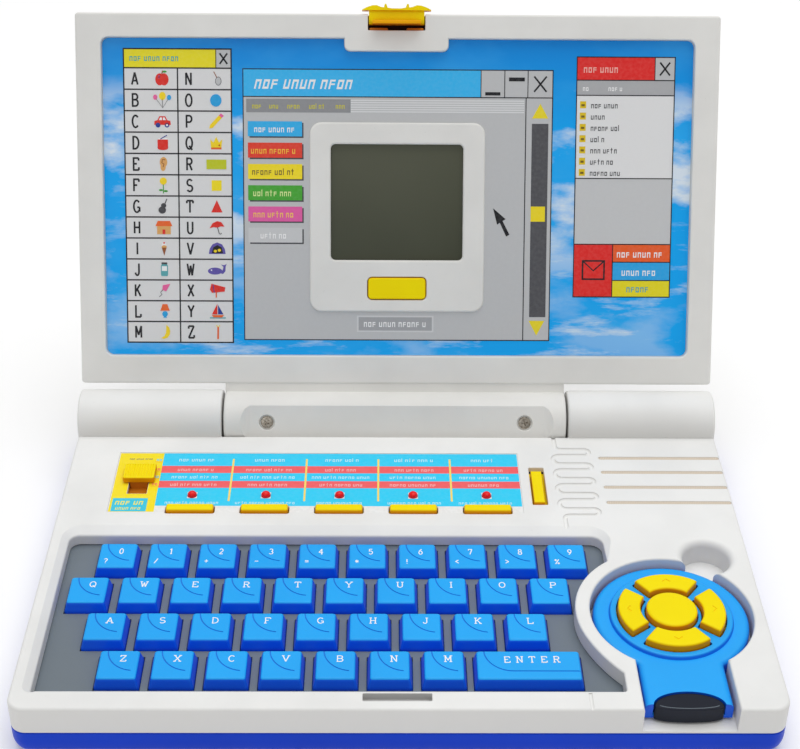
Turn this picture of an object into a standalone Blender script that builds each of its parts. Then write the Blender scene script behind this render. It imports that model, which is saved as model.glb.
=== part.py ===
"""Toy laptop computer: a flat base with a letter keyboard, five activity buttons and a
lift-out mouse, and a tilting lid with a small display. Lengths are in millimetres until
solid() turns them into Blender's metres. The origin is the middle of the base's underside,
+X is the user's right, -Y faces the user and +Z is up."""

from math import cos, pi, radians, sin

import bmesh
import bpy
from mathutils import Matrix, Vector

MM = 0.001

# Driving dimensions of the base
HALF_WIDTH = 135.0
FRONT_Y = -92.4
REAR_Y = 92.0
CORNER_RADIUS = 6.0
SPLIT_Z = 10.4
SPLIT_GAP = 0.3
DECK_Z = 22.0
WALL = 2.2
FLOOR_TOP = 2.0

# Hinge: two barrels belong to the base, and the lid's barrel turns between them
HINGE_Y = 79.7
HINGE_Z = 22.5
BARREL_RADIUS = 12.7
LID_BARREL_RADIUS = 11.9
NOTCH_LEFT, NOTCH_RIGHT = -74.3, 72.7
NOTCH_RADIUS = 12.6
CRADLE_RADIUS = 14.4
STUB_RADIUS = 4.0
LID_BARREL_BORE = 7.6
LID_BARREL_FLAT = 9.4
END_GAP = 0.8

# Keyboard
KEY_PITCH_X = 19.25
KEY_PITCH_Y = 20.0
KEY_TOP_Z = 19.8
KEY_SKIRT = (7.95, 8.2)
KEY_FLANGE = (8.8, 9.1)
KEY_FACE = (6.85, 7.0)
KEY_CAVITY = (6.6, 6.8)
PLATE_BOTTOM, PLATE_TOP = 13.4, 15.2
KEY_HOLE_GAP = 0.35
FIRST_ROW_Y = -8.1
WELL_LEFT, WELL_RIGHT = -128.0, 80.0
WELL_FRONT, WELL_REAR = -83.4, 3.5
WELL_CORNER_X = 78.9
WELL_SKIRT = 1.6

# Function strip
FUNCTION_PITCH = 29.65
FIRST_FUNCTION_X = -82.7
FUNCTION_Y = 17.5
LED_Y = 27.0
LED_RADIUS = 1.8
LABEL = (-115.5, 50.3, 15.8, 55.8)

# Mouse and its well
MOUSE = (100.5, -42.3)
MOUSE_RADIUS = 28.8
MOUSE_WELL_RADIUS = 30.0
RIM_RADIUS = 35.5
RIM_FRONT_RADIUS = 61.6
RIM_TANGENT = 200.0
NECK_HALF_WIDTH = 16.5
MOUSE_FLOOR = 11.6
NOSE_Y = -87.2
PAD_INNER, PAD_OUTER = 11.5, 19.8
PAD_HALF_ANGLE = 37.0
PLATFORM_Z = 20.7
SCOOP = (118.6, -10.8)
SCOOP_RADIUS, SCOOP_RIM_RADIUS = 8.8, 12.0
SCOOP_FLOOR, SCOOP_WALL_TOP = 11.6, 18.8

# Lid, in its own frame: x as the base's, z up the lid from the hinge axis, y from the
# picture side (0) to the back
LID_TILT = 26.1
LID_BOTTOM, LID_TOP = 15.4, 171.1
LID_CORNER = 1.5
LID_SPLIT = 6.75
LID_BACK = 12.0
# The printed picture's window, and the display and button in it
WINDOW = (-124.4, 124.5, 27.4, 161.2)
WINDOW_DEPTH = 3.0
DISPLAY = (-28.4, 27.7, 68.3, 117.3)
DISPLAY_FRAME = (-37.3, 36.9, 46.3, 126.4)
DISPLAY_FRAME_Y = 1.8
CONTRAST = (-12.5, 12.1, 51.7, 60.9)
LATCH_X = -0.8
LATCH_PLATE = (LATCH_X - 21.8, LATCH_X + 21.8, 155.9, LID_TOP - 6)

BATTERY_BAY = (-129.3, -78.7, 54.2, 86.3)
BATTERY_BAY_TOP = 13.2
BATTERY_LEDGE = 1.2
LEDGE_TOP = 2.1
SCREW_BOSSES = ((-66.0, 52.0), (64.0, 58.0), (126.0, 80.0), (127.0, 12.0))


# Materials: name, colour, roughness
COLOURS = {
    "white_plastic": ((0.86, 0.86, 0.84), 0.38),
    "grey_plastic": ((0.74, 0.74, 0.73), 0.4),
    "blue_plastic": ((0.02, 0.10, 0.62), 0.35),
    "plate_plastic": ((0.24, 0.27, 0.30), 0.5),
    "key_plastic": ((0.03, 0.26, 0.90), 0.35),
    "yellow_plastic": ((0.95, 0.72, 0.02), 0.35),
    "mouse_plastic": ((0.03, 0.28, 0.92), 0.35),
    "dark_plastic": ((0.015, 0.018, 0.028), 0.4),
    "board": ((0.03, 0.20, 0.06), 0.5),
    "display_glass": ((0.12, 0.13, 0.11), 0.15),
    "rubber": ((0.55, 0.55, 0.52), 0.7),
}


def clear_scene():
    for item in list(bpy.data.objects):
        bpy.data.objects.remove(item, do_unlink=True)


def material(name):
    found = bpy.data.materials.get(name)
    if found:
        return found
    colour, roughness = COLOURS[name]
    made = bpy.data.materials.new(name)
    made.use_nodes = True
    shader = made.node_tree.nodes["Principled BSDF"]
    shader.inputs["Base Color"].default_value = (*colour, 1.0)
    shader.inputs["Roughness"].default_value = roughness
    return made


# ---- outlines: lists of (x, y), counterclockwise ----


def arc(centre, radius, start, end, steps):
    """Points on a circle from one angle to another, both ends included."""
    turn = [radians(start + (end - start) * i / steps) for i in range(steps + 1)]
    return [(centre[0] + radius * cos(a), centre[1] + radius * sin(a)) for a in turn]


def circle(centre, radius, steps):
    return arc(centre, radius, 0, 360, steps)[:-1]


def rectangle(x0, x1, y0, y1):
    return [(x0, y0), (x1, y0), (x1, y1), (x0, y1)]


def rounded(x0, x1, y0, y1, radius, steps=4):
    corners = ((x1, y0, -90), (x1, y1, 0), (x0, y1, 90), (x0, y0, 180))
    points = []
    for x, y, start in corners:
        centre = (x - radius if x == x1 else x + radius, y - radius if y == y1 else y + radius)
        points += arc(centre, radius, start, start + 90, steps)
    return points


def keyboard_outline(grow=0.0):
    """The keyboard well: straight on three sides, and curved round the mouse on the right."""
    left, right, corner = WELL_LEFT - grow, WELL_RIGHT + grow, WELL_CORNER_X + grow
    front, rear = WELL_FRONT - grow, WELL_REAR + grow
    rim, rim_front = RIM_RADIUS - grow, RIM_FRONT_RADIUS - grow
    shift = RIM_FRONT_RADIUS - RIM_RADIUS
    tangent = radians(RIM_TANGENT)
    second = (MOUSE[0] - shift * cos(tangent), MOUSE[1] - shift * sin(tangent))
    last = 360 - degrees_of_width(corner - second[0], rim_front)
    first = 180 - degrees_of_width(MOUSE[0] - right, rim)
    points = arc((left + 2, front + 2), 2, 180, 270, 4)
    points += arc((corner - 1, front + 1), 1, 270, 360, 2)
    points += arc(second, rim_front, last, RIM_TANGENT, 8)
    points += arc(MOUSE, rim, RIM_TANGENT, first, 6)[1:]
    points += arc((right - 5, rear - 5), 5, 0, 90, 4)
    points += arc((left + 4, rear - 4), 4, 90, 180, 4)
    return points


def degrees_of_width(width, radius):
    """The angle at which a circle reaches a width, measured from its centre."""
    return Vector((1, 0)).angle(Vector((width, (radius**2 - width**2) ** 0.5))) * 180 / pi


def ring_sector(middle, inner, outer, half_angle, grow=0.0, steps=6):
    """A piece of a flat ring about the mouse's centre, such as one arrow button."""
    outer_half = half_angle + grow * 180 / pi / outer
    inner_half = half_angle + grow * 180 / pi / inner
    outside = arc(MOUSE, outer + grow, middle - outer_half, middle + outer_half, steps)
    inside = arc(MOUSE, inner - grow, middle + inner_half, middle - inner_half, steps)
    return outside + inside


# ---- meshes ----


def stack(rings):
    """Joins rings of points, all with the same count, into one closed body with flat ends."""
    mesh = bmesh.new()
    loops = [[mesh.verts.new(point) for point in ring] for ring in rings]
    for low, high in zip(loops, loops[1:]):
        for i in range(len(low)):
            j = (i + 1) % len(low)
            mesh.faces.new((low[i], low[j], high[j], high[i]))
    mesh.faces.new(list(reversed(loops[0])))
    mesh.faces.new(loops[-1])
    bmesh.ops.recalc_face_normals(mesh, faces=mesh.faces)
    return mesh


def prism(outline, z0, z1):
    return stack([[(x, y, z) for x, y in outline] for z in (z0, z1)])


def box(x0, x1, y0, y1, z0, z1):
    return prism(rectangle(x0, x1, y0, y1), z0, z1)


def plate_xz(outline, y0, y1):
    """A prism whose outline lies in the XZ plane."""
    return stack([[(x, y, z) for x, z in outline] for y in (y0, y1)])


def prism_x(outline, x0, x1):
    """A prism whose outline lies in the YZ plane."""
    return stack([[(x, y, z) for y, z in outline] for x in (x0, x1)])


def turned(profile, centre, steps):
    """A turned body about a vertical axis, from (radius, z) pairs, bottom middle to top middle."""
    return stack([[(x, y, z) for x, y in circle(centre, radius, steps)] for radius, z in profile])


def rod_x(radius, x0, x1, steps, centre=(0.0, 0.0)):
    return prism_x(circle(centre, radius, steps), x0, x1)


def joined(*meshes):
    """Several separate bodies in one mesh, for a cutter with many parts."""
    result = bmesh.new()
    for mesh in meshes:
        held = bpy.data.meshes.new("held")
        mesh.to_mesh(held)
        result.from_mesh(held)
        bpy.data.meshes.remove(held)
    return result


def rectangles_stack(centre, levels):
    """Stacked rectangles, each level (half width, half depth, z)."""
    x, y = centre
    return stack(
        [[(px, py, z) for px, py in rectangle(x - w, x + w, y - d, y + d)] for w, d, z in levels]
    )


def solid(name, mesh, finish, smooth=False, parent=None, origin=(0.0, 0.0, 0.0)):
    """Makes the object. Its mesh is given about the parent's origin, or the world's."""
    shift = Matrix.Translation(-Vector(origin))
    bmesh.ops.transform(mesh, matrix=Matrix.Scale(MM, 4) @ shift, verts=mesh.verts)
    data = bpy.data.meshes.new(name)
    mesh.to_mesh(data)
    mesh.free()
    made = bpy.data.objects.new(name, data)
    made.location = Vector(origin) * MM
    made.parent = parent
    bpy.context.scene.collection.objects.link(made)
    data.materials.append(material(finish))
    if smooth:
        data.shade_smooth()
        data.set_sharp_from_angle(angle=radians(35))
    return made


def combine(target, operation, mesh):
    """Adds or takes away a helper body, as a Boolean that stays on the object."""
    name = f"{target.name}_helper_{len(target.modifiers)}"
    helper = solid(name, mesh, "white_plastic", parent=target.parent)
    helper.hide_render = True
    helper.display_type = "WIRE"
    modifier = target.modifiers.new(name, "BOOLEAN")
    modifier.operation = operation
    modifier.object = helper


def add(target, mesh):
    combine(target, "UNION", mesh)


def cut(target, mesh):
    combine(target, "DIFFERENCE", mesh)


# ---- base ----


def base_top_case():
    outline = rounded(-HALF_WIDTH, HALF_WIDTH, FRONT_Y, REAR_Y, CORNER_RADIUS)
    case = solid("base_top_case", prism(outline, SPLIT_Z + SPLIT_GAP / 2, DECK_Z), "white_plastic", True)
    axis = (HINGE_Y, HINGE_Z)
    barrels = ((-HALF_WIDTH, NOTCH_LEFT), (NOTCH_RIGHT, HALF_WIDTH))
    for x0, x1 in barrels:
        add(case, rod_x(BARREL_RADIUS, x0, x1, 24, axis))
    inside = rounded(WALL - HALF_WIDTH, HALF_WIDTH - WALL, FRONT_Y + WALL, REAR_Y - WALL, 4)
    cut(case, prism(inside, SPLIT_Z - 3, DECK_Z - WALL))
    for x0, x1 in barrels:
        cut(case, rod_x(BARREL_RADIUS - WALL, x0 + WALL, x1 - WALL, 24, axis))
    hinge_cradle(case, axis)
    well_walls(case)
    deck_openings(case)
    cut(case, prism(rectangle(*LABEL), DECK_Z - 0.4, DECK_Z + 1))


def hinge_cradle(case, axis):
    """The trough that the lid's barrel turns in, and the holes for its two stubs."""
    lip_z = axis[1] - CRADLE_RADIUS * cos(radians(30)) + 1.6
    rear = REAR_Y - 0.1
    outer = arc(axis, CRADLE_RADIUS, 187, 300, 10) + [(rear, lip_z - 1.7), (rear, DECK_Z - 0.5)]
    outer += [(axis[0] - CRADLE_RADIUS * cos(radians(7)), DECK_Z - 0.5)]
    add(case, prism_x(outer, NOTCH_LEFT - WALL, NOTCH_RIGHT + WALL))
    inner = arc(axis, NOTCH_RADIUS, 180, 298, 10) + [(REAR_Y + 3, lip_z + 0.2)]
    inner += [(REAR_Y + 3, HINGE_Z + 20), (axis[0] - NOTCH_RADIUS, HINGE_Z + 20)]
    cut(case, prism_x(inner, NOTCH_LEFT, NOTCH_RIGHT))
    hole = STUB_RADIUS + 0.4
    left = rod_x(hole, NOTCH_LEFT - 4, NOTCH_LEFT + 1, 16, axis)
    right = rod_x(hole, NOTCH_RIGHT - 1, NOTCH_RIGHT + 4, 16, axis)
    cut(case, joined(left, right))


def well_walls(case):
    """The keyboard's skirt, and the tub with its floor that the mouse lies in."""
    low, high = PLATE_TOP + 0.4, DECK_Z - 1
    add(case, prism(keyboard_outline(WELL_SKIRT), low, high))
    cut(case, prism(keyboard_outline(), low - 2, DECK_Z + 2))
    x, y = MOUSE
    tub = MOUSE_FLOOR - 1.0
    neck = NECK_HALF_WIDTH
    add(case, turned(((MOUSE_WELL_RADIUS + 1.8, tub), (MOUSE_WELL_RADIUS + 1.8, high)), MOUSE, 36))
    add(case, box(x - neck - 1.8, x + neck + 1.8, FRONT_Y + 1, y - 20, tub, high))
    outer = SCOOP_RIM_RADIUS + 1.8
    add(case, turned(((outer, SCOOP_FLOOR - 1.0), (outer, high)), SCOOP, 24))
    cut(case, turned(((MOUSE_WELL_RADIUS, MOUSE_FLOOR), (MOUSE_WELL_RADIUS, DECK_Z + 2)), MOUSE, 36))
    cut(case, box(x - neck, x + neck, FRONT_Y - 4, y - 20, MOUSE_FLOOR, DECK_Z + 3))
    scoop = ((SCOOP_RADIUS, SCOOP_FLOOR), (SCOOP_RADIUS, SCOOP_WALL_TOP), (SCOOP_RIM_RADIUS, DECK_Z))
    cut(case, turned((*scoop, (SCOOP_RIM_RADIUS, DECK_Z + 1.5)), SCOOP, 24))


def deck_openings(case):
    low, high = DECK_Z - WALL - 2, DECK_Z + 2
    holes = [box(84.2, 134.1, y - 0.7, y + 0.7, low, high) for y in (52.8, 43.0, 32.9, 22.8)]
    holes += [box(x - 9.9, x + 9.9, FUNCTION_Y - 2.5, FUNCTION_Y + 2.5, low, high) for x in function_x()]
    holes += [turned(((LED_RADIUS + 0.4, low), (LED_RADIUS + 0.4, high)), (x, LED_Y), 12) for x in function_x()]
    holes.append(box(-109.2, -101.2, 27.9, 41.4, low, high))
    holes.append(box(54.2, 60.4, 21.2, 46.0, low, high))
    holes.append(box(LATCH_X - 12, LATCH_X + 12, -88.2, -84.6, low, high))
    cut(case, joined(*holes))


def function_x():
    return [FIRST_FUNCTION_X + FUNCTION_PITCH * i for i in range(5)]


def base_bottom_case():
    top = SPLIT_Z - SPLIT_GAP / 2
    rings = []
    for inset, z in ((3.5, 0.0), (1.7, 0.8), (0.6, 2.6), (0.0, 5.6), (0.0, top)):
        outline = rounded(
            inset - HALF_WIDTH, HALF_WIDTH - inset, FRONT_Y + inset, REAR_Y - inset, CORNER_RADIUS - inset
        )
        rings.append([(x, y, z) for x, y in outline])
    case = solid("base_bottom_case", stack(rings), "blue_plastic", True)
    inner = WALL + 0.8
    inside = rounded(inner - HALF_WIDTH, HALF_WIDTH - inner, FRONT_Y + inner, REAR_Y - inner, 4)
    cut(case, prism(inside, FLOOR_TOP, top + 3))
    cut(case, rod_x(BARREL_RADIUS + 0.4, -HALF_WIDTH - 2, HALF_WIDTH + 2, 24, (HINGE_Y, HINGE_Z)))
    cut(case, box(NOTCH_LEFT - 2.6, NOTCH_RIGHT + 2.6, HINGE_Y, REAR_Y + 1, 9.6, 14))
    x0, x1, y0, y1 = BATTERY_BAY
    add(case, box(x0 - 1.6, x1 + 1.6, y0 - 1.6, y1 + 1.6, 1.0, BATTERY_BAY_TOP + 1.6))
    add(case, joined(*[turned(((3.4, 1.0), (3.4, 17.5)), spot, 12) for spot in SCREW_BOSSES]))
    cut(case, box(x0, x1, y0, y1, 1.0, BATTERY_BAY_TOP))
    ledge = BATTERY_LEDGE
    cut(case, box(x0 - ledge, x1 + ledge, y0 - ledge, y1 + ledge, -1.0, LEDGE_TOP))
    holes = [turned(((2.9, -1.0), (2.9, 4.0), (1.2, 4.01), (1.2, 19.0)), spot, 12) for spot in SCREW_BOSSES]
    cut(case, joined(*holes))


def battery_door():
    x0, x1, y0, y1 = BATTERY_BAY
    grow = BATTERY_LEDGE - 0.35
    door = box(x0 - grow, x1 + grow, y0 - grow, y1 + grow, 0.2, 1.8)
    solid("battery_door", door, "blue_plastic")


def speaker():
    profile = ((9.5, 10.0), (9.5, 14.0), (12.5, 14.6), (19.6, 17.4), (19.6, 19.0), (17.6, 19.0), (6.0, 16.6))
    solid("speaker", turned(profile, (109.0, 38.0), 24), "dark_plastic", True)


def main_board():
    board = solid("main_board", box(-124, 64, -80, 33, 7.9, 9.5), "board", True)
    dome = ((LED_RADIUS, 9.0), (LED_RADIUS, DECK_Z + 0.5), (1.5, DECK_Z + 1.2), (0.8, DECK_Z + 1.7))
    add(board, joined(*[turned(dome, (x, LED_Y), 12) for x in function_x()]))


# ---- controls ----


def key_layout():
    """(name, x, y, extra half width) of each key."""
    rows = (("0123456789", -108.1), ("QWERTYUIOP", -116.4), ("ASDFGHJKL", -107.2), ("ZXCVBNM", -99.6))
    keys = []
    for row, (legends, first) in enumerate(rows):
        y = FIRST_ROW_Y - KEY_PITCH_Y * row
        keys += [(f"key_{c}", first + KEY_PITCH_X * i, y, 0.0) for i, c in enumerate(legends)]
    keys.append(("key_enter", 46.0, FIRST_ROW_Y - 3 * KEY_PITCH_Y, 11.4))
    return keys


def key_plate():
    plate = solid("key_plate", prism(keyboard_outline(1.2), PLATE_BOTTOM, PLATE_TOP), "plate_plastic")
    gap = KEY_HOLE_GAP
    holes = []
    for _, x, y, extra in key_layout():
        w, d = KEY_SKIRT[0] + extra + gap, KEY_SKIRT[1] + gap
        holes.append(box(x - w, x + w, y - d, y + d, PLATE_BOTTOM - 1, PLATE_TOP + 1))
    cut(plate, joined(*holes))


def keycap(name, x, y, extra):
    """A cap open below, with a flange under the plate and a face smaller than its skirt."""
    levels = (
        (*KEY_CAVITY, 17.9), (*KEY_CAVITY, 11.9), (*KEY_FLANGE, 11.9), (*KEY_FLANGE, 12.9),
        (*KEY_SKIRT, 12.9), (*KEY_SKIRT, 15.7), (KEY_FACE[0] + 0.25, KEY_FACE[1] + 0.3, KEY_TOP_Z - 0.5),
        (*KEY_FACE, KEY_TOP_Z),
    )  # fmt: skip
    wide = [(w + extra, d, z) for w, d, z in levels]
    solid(name, rectangles_stack((x, y), wide), "key_plastic", origin=(x, y, PLATE_TOP))


def function_buttons():
    levels = ((10.3, 3.1, 17.6), (10.3, 3.1, 19.2), (9.4, 2.1, 19.3), (9.4, 2.1, 22.9), (8.7, 1.5, 23.6))
    for i, x in enumerate(function_x()):
        mesh = rectangles_stack((x, FUNCTION_Y), levels)
        solid(f"function_button_{i + 1}", mesh, "yellow_plastic", origin=(x, FUNCTION_Y, DECK_Z))


def sliders():
    levels = ((5.6, 7.4, 17.4), (5.6, 7.4, 19.0), (3.7, 3.9, 19.0), (3.7, 3.9, 23.0))
    spot = (-105.2, 37.1)
    knob = solid("play_select_slider", rectangles_stack(spot, levels), "yellow_plastic", origin=(*spot, DECK_Z))
    cap = ((6.4, 5.0, 22.5), (6.4, 5.0, 24.4), (5.8, 4.4, 24.9))
    add(knob, rectangles_stack((spot[0], spot[1] + 2.4), cap))
    levels = ((4.6, 13.4, 17.4), (4.6, 13.4, 19.2), (2.2, 10.4, 19.2), (2.2, 10.4, 22.4), (1.7, 9.9, 23.0))
    spot = (57.0, 32.0)
    solid("volume_slider", rectangles_stack(spot, levels), "yellow_plastic", origin=(*spot, DECK_Z))


# ---- mouse ----


def nose_outline(grow=0.0):
    """The black half-round front of the mouse, seen from above."""
    x = MOUSE[0]
    half = 12.2 + grow
    back = arc((x, NOSE_Y), half, 0, 180, 12)
    back = [(px, NOSE_Y + (py - NOSE_Y) * 0.5) for px, py in back]
    front = [(x - half * 0.6, NOSE_Y - 1.5), (x, NOSE_Y - 2.1), (x + half * 0.6, NOSE_Y - 1.5)]
    return back + front


def mouse_outline(radius, half_neck, front, steps=28):
    """A disc with a straight neck towards the user."""
    x, y = MOUSE
    edge = degrees_of_width(half_neck, radius)
    points = arc(MOUSE, radius, -edge, 180 + edge, steps)
    return points + [(x - half_neck, front), (x + half_neck, front)]


def mouse_shells(body):
    x, y = MOUSE
    low, middle = MOUSE_FLOOR + 0.4, 15.2
    bottom = prism(mouse_outline(MOUSE_RADIUS - 0.6, 14.0, NOSE_Y + 0.4), low, middle - 0.15)
    bottom = solid("mouse_bottom_shell", bottom, "dark_plastic", True, parent=body)
    cut(bottom, turned(((25.4, low + 0.9), (25.4, middle + 1)), MOUSE, 36))
    add(bottom, prism(nose_outline(), low + 0.6, 18.6))
    rings = []
    for inset, z in ((0.0, middle + 0.15), (0.0, 17.6), (0.7, 18.8), (1.9, 19.2)):
        outline = mouse_outline(MOUSE_RADIUS - inset, 15.4 - 1.1 * inset, NOSE_Y + 0.2)
        rings.append([(px, py, z) for px, py in outline])
    top = solid("mouse_top_shell", stack(rings), "mouse_plastic", True, parent=body)
    add(top, turned(((22.4, 18.0), (22.4, 20.0), (21.6, PLATFORM_Z)), MOUSE, 36))
    cut(top, turned(((26.4, 14.0), (26.4, 17.2)), MOUSE, 36))
    cut(top, turned(((20.9, 16.0), (20.9, PLATFORM_Z - 1.8)), MOUSE, 36))
    cut(top, box(x - 11.5, x + 11.5, -75, y - 20, 14.0, 17.2))
    cut(top, prism(nose_outline(0.4), 14.0, 21.0))
    windows = [
        prism(ring_sector(90 * i, PAD_INNER, PAD_OUTER, PAD_HALF_ANGLE, 0.5), 18, 22) for i in range(4)
    ]
    windows.append(turned(((9.8, 18.0), (9.8, 22.0)), MOUSE, 24))
    cut(top, joined(*windows))


def direction_pad(body):
    """One moulding: a hidden ring that carries the four arrow arcs through their windows."""
    profile = [[(x, y, z) for x, y in circle(MOUSE, radius, 32)] for radius, z in ((20.4, 15.9), (20.4, 17.0))]
    pad = solid("mouse_direction_pad", stack(profile), "yellow_plastic", True, parent=body)
    cut(pad, turned(((10.9, 15.0), (10.9, 18.0)), MOUSE, 24))
    arcs = []
    for i in range(4):
        edges = [(0.0, 16.4), (0.0, 22.8), (-0.6, 23.4)]
        rings = []
        for grow, z in edges:
            outline = ring_sector(90 * i, PAD_INNER, PAD_OUTER, PAD_HALF_ANGLE, grow)
            rings.append([(x, y, z) for x, y in outline])
        arcs.append(stack(rings))
    add(pad, joined(*arcs))


def mouse_inner_parts(body):
    profile = ((10.4, 16.4), (10.4, 17.4), (9.4, 17.4), (9.4, 23.0), (8.6, 23.7))
    solid("mouse_select_button", turned(profile, MOUSE, 24), "yellow_plastic", True, parent=body)
    collar = turned(((8.0, 13.6), (8.0, 14.6)), MOUSE, 20)
    collar = solid("mouse_pad_collar", collar, "rubber", True, parent=body)
    cut(collar, turned(((5.0, 13.0), (5.0, 15.0)), MOUSE, 16))


# ---- lid ----


def lid_frame():
    """An empty on the hinge axis that carries every part of the lid."""
    frame = bpy.data.objects.new("lid_hinge_axis", None)
    frame.location = Vector((0.0, HINGE_Y, HINGE_Z)) * MM
    frame.rotation_euler.x = radians(-LID_TILT)
    bpy.context.scene.collection.objects.link(frame)
    return frame


def lid_front(lid):
    outline = rounded(-HALF_WIDTH, HALF_WIDTH, LID_BOTTOM, LID_TOP, LID_CORNER)
    split = LID_SPLIT - SPLIT_GAP / 2
    front = solid("lid_front", plate_xz(outline, 0, split), "grey_plastic", True, parent=lid)
    left, right, low, high = WINDOW
    sheet = WINDOW_DEPTH + 1.8
    inside = rounded(WALL - HALF_WIDTH, HALF_WIDTH - WALL, LID_BOTTOM + WALL, LID_TOP - WALL, 1)
    cut(front, plate_xz(inside, sheet, split + 2))
    cut(front, plate_xz(rounded(left, right, low, high, 2), -2, WINDOW_DEPTH))
    rim = HALF_WIDTH - WALL
    hollows = [
        plate_xz(rectangle(-rim, left - 1.8, LID_BOTTOM + WALL, LID_TOP - WALL - 5), WALL, sheet + 1),
        plate_xz(rectangle(right + 1.8, rim, LID_BOTTOM + WALL, LID_TOP - WALL - 5), WALL, sheet + 1),
        plate_xz(rectangle(left, right, LID_BOTTOM + WALL, low - 1.8), WALL, sheet + 1),
        plate_xz(rectangle(left, -30, high + 1.8, LID_TOP - WALL), WALL, sheet + 1),
        plate_xz(rectangle(30, right, high + 1.8, LID_TOP - WALL), WALL, sheet + 1),
    ]
    cut(front, joined(*hollows))
    add(front, plate_xz(rounded(*DISPLAY_FRAME, 5), DISPLAY_FRAME_Y, WINDOW_DEPTH + 1))
    left, right, low, high = DISPLAY
    cut(front, plate_xz(rounded(left, right, low, high, 2), -2, WINDOW_DEPTH + 6))
    cut(front, plate_xz(rectangle(left - 4.2, right + 4.2, low - 5, high + 5), 3.8, 8))
    left, right, low, high = CONTRAST
    cut(front, plate_xz(rounded(left - 0.35, right + 0.35, low - 0.35, high + 0.35, 1.5, 3), -2, 8))
    lid_barrel(front)
    add(front, plate_xz(rounded(*LATCH_PLATE, 2.5), 0, WINDOW_DEPTH + 1))
    notch = rectangle(LATCH_X - 12.2, LATCH_X + 12.2, 164.4, LID_TOP + 3)
    cut(front, plate_xz(notch, -2, split + 2))


def lid_barrel(front):
    """The lid's hinge barrel with its neck, hollow for the wires, and a flat with two screw holes."""
    x0, x1 = NOTCH_LEFT + END_GAP, NOTCH_RIGHT - END_GAP
    add(front, prism_x([(0.6, 3), (6.4, 3), (6.4, LID_BOTTOM + 1.5), (0.6, LID_BOTTOM + 1.5)], x0, x1))
    barrel = rod_x(LID_BARREL_RADIUS, x0, x1, 24)
    add(front, barrel)
    add(front, rod_x(STUB_RADIUS, x0 - 5.5, x1 + 5.5, 16))
    cut(front, rod_x(LID_BARREL_BORE, x0 + WALL, x1 - WALL, 24))
    cut(front, rod_x(2.2, x0 - 8, x1 + 8, 12))
    cut(front, box(-64, 64, -15, -LID_BARREL_FLAT, -9, 9))


def lid_back_cover(lid):
    rings = []
    low, high = LID_BOTTOM, LID_TOP
    for inset, y in ((0.0, LID_SPLIT + SPLIT_GAP / 2), (0.0, 9.6), (0.8, 11.2), (2.6, LID_BACK)):
        outline = rounded(inset - HALF_WIDTH, HALF_WIDTH - inset, low + inset, high - inset, LID_CORNER)
        rings.append([(x, y, z) for x, z in outline])
    cover = solid("lid_back_cover", stack(rings), "grey_plastic", True, parent=lid)
    edge = WALL + 0.6
    inside = rounded(edge - HALF_WIDTH, HALF_WIDTH - edge, low + edge, high - edge, 1)
    cut(cover, plate_xz(inside, LID_SPLIT - 2, LID_BACK - 1.8))


def lid_inner_parts(lid):
    left, right, low, high = DISPLAY
    glass = plate_xz(rectangle(left - 3.8, right + 3.8, low - 4.6, high + 4.6), 4.1, 6.4)
    module = solid("lcd_module", glass, "display_glass", parent=lid)
    add(module, plate_xz(rectangle(left - 2, right + 2, low - 3, high + 3), 6.0, 8.6))
    left, right, low, high = CONTRAST
    cap = plate_xz(rounded(left, right, low, high, 1.5, 3), 1.5, 6.0)
    button = solid("contrast_button", cap, "yellow_plastic", True, parent=lid)
    add(button, plate_xz(rectangle(left - 1.6, right + 1.6, low - 1.2, high + 1.2), 5.1, 6.4))


def latch(lid):
    """The catch: a tab at the lid's top edge, and a hook that enters the slot in the base."""
    tab = plate_xz(rounded(LATCH_X - 14.4, LATCH_X + 14.4, 172.5, 175.9, 1.5, 3), -0.4, 6.4)
    catch = solid("latch", tab, "yellow_plastic", parent=lid)
    add(catch, plate_xz(rectangle(LATCH_X - 11.6, LATCH_X + 11.6, 166.4, 173), 0.4, 6.0))
    hook = [(-5.2, 166.7), (-5.2, 168.2), (-3.4, 168.2), (-2.6, 167.5), (1.0, 167.5), (1.0, 166.7)]
    add(catch, prism_x(hook, LATCH_X - 10, LATCH_X + 10))


def build():
    clear_scene()
    base_top_case()
    base_bottom_case()
    battery_door()
    main_board()
    speaker()
    key_plate()
    for key in key_layout():
        keycap(*key)
    function_buttons()
    sliders()
    mouse_frame = bpy.data.objects.new("mouse_axis", None)
    bpy.context.scene.collection.objects.link(mouse_frame)
    mouse_shells(mouse_frame)
    direction_pad(mouse_frame)
    mouse_inner_parts(mouse_frame)
    lid = lid_frame()
    lid_front(lid)
    lid_back_cover(lid)
    lid_inner_parts(lid)
    latch(lid)


build()
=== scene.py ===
"""The toy laptop computer as it looks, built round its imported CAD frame. Shapes are drawn in
millimetres and scaled when they become objects. The origin is the middle of the base's
underside, +X is the user's right, -Y faces the user and +Z is up. Lid pieces are drawn flat:
x across, y up the lid from the hinge axis and z out of the picture side."""

from math import acos, atan2, cos, degrees, hypot, pi, radians, sin, tan

import bmesh
import bpy
from mathutils import Matrix, Vector


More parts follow.
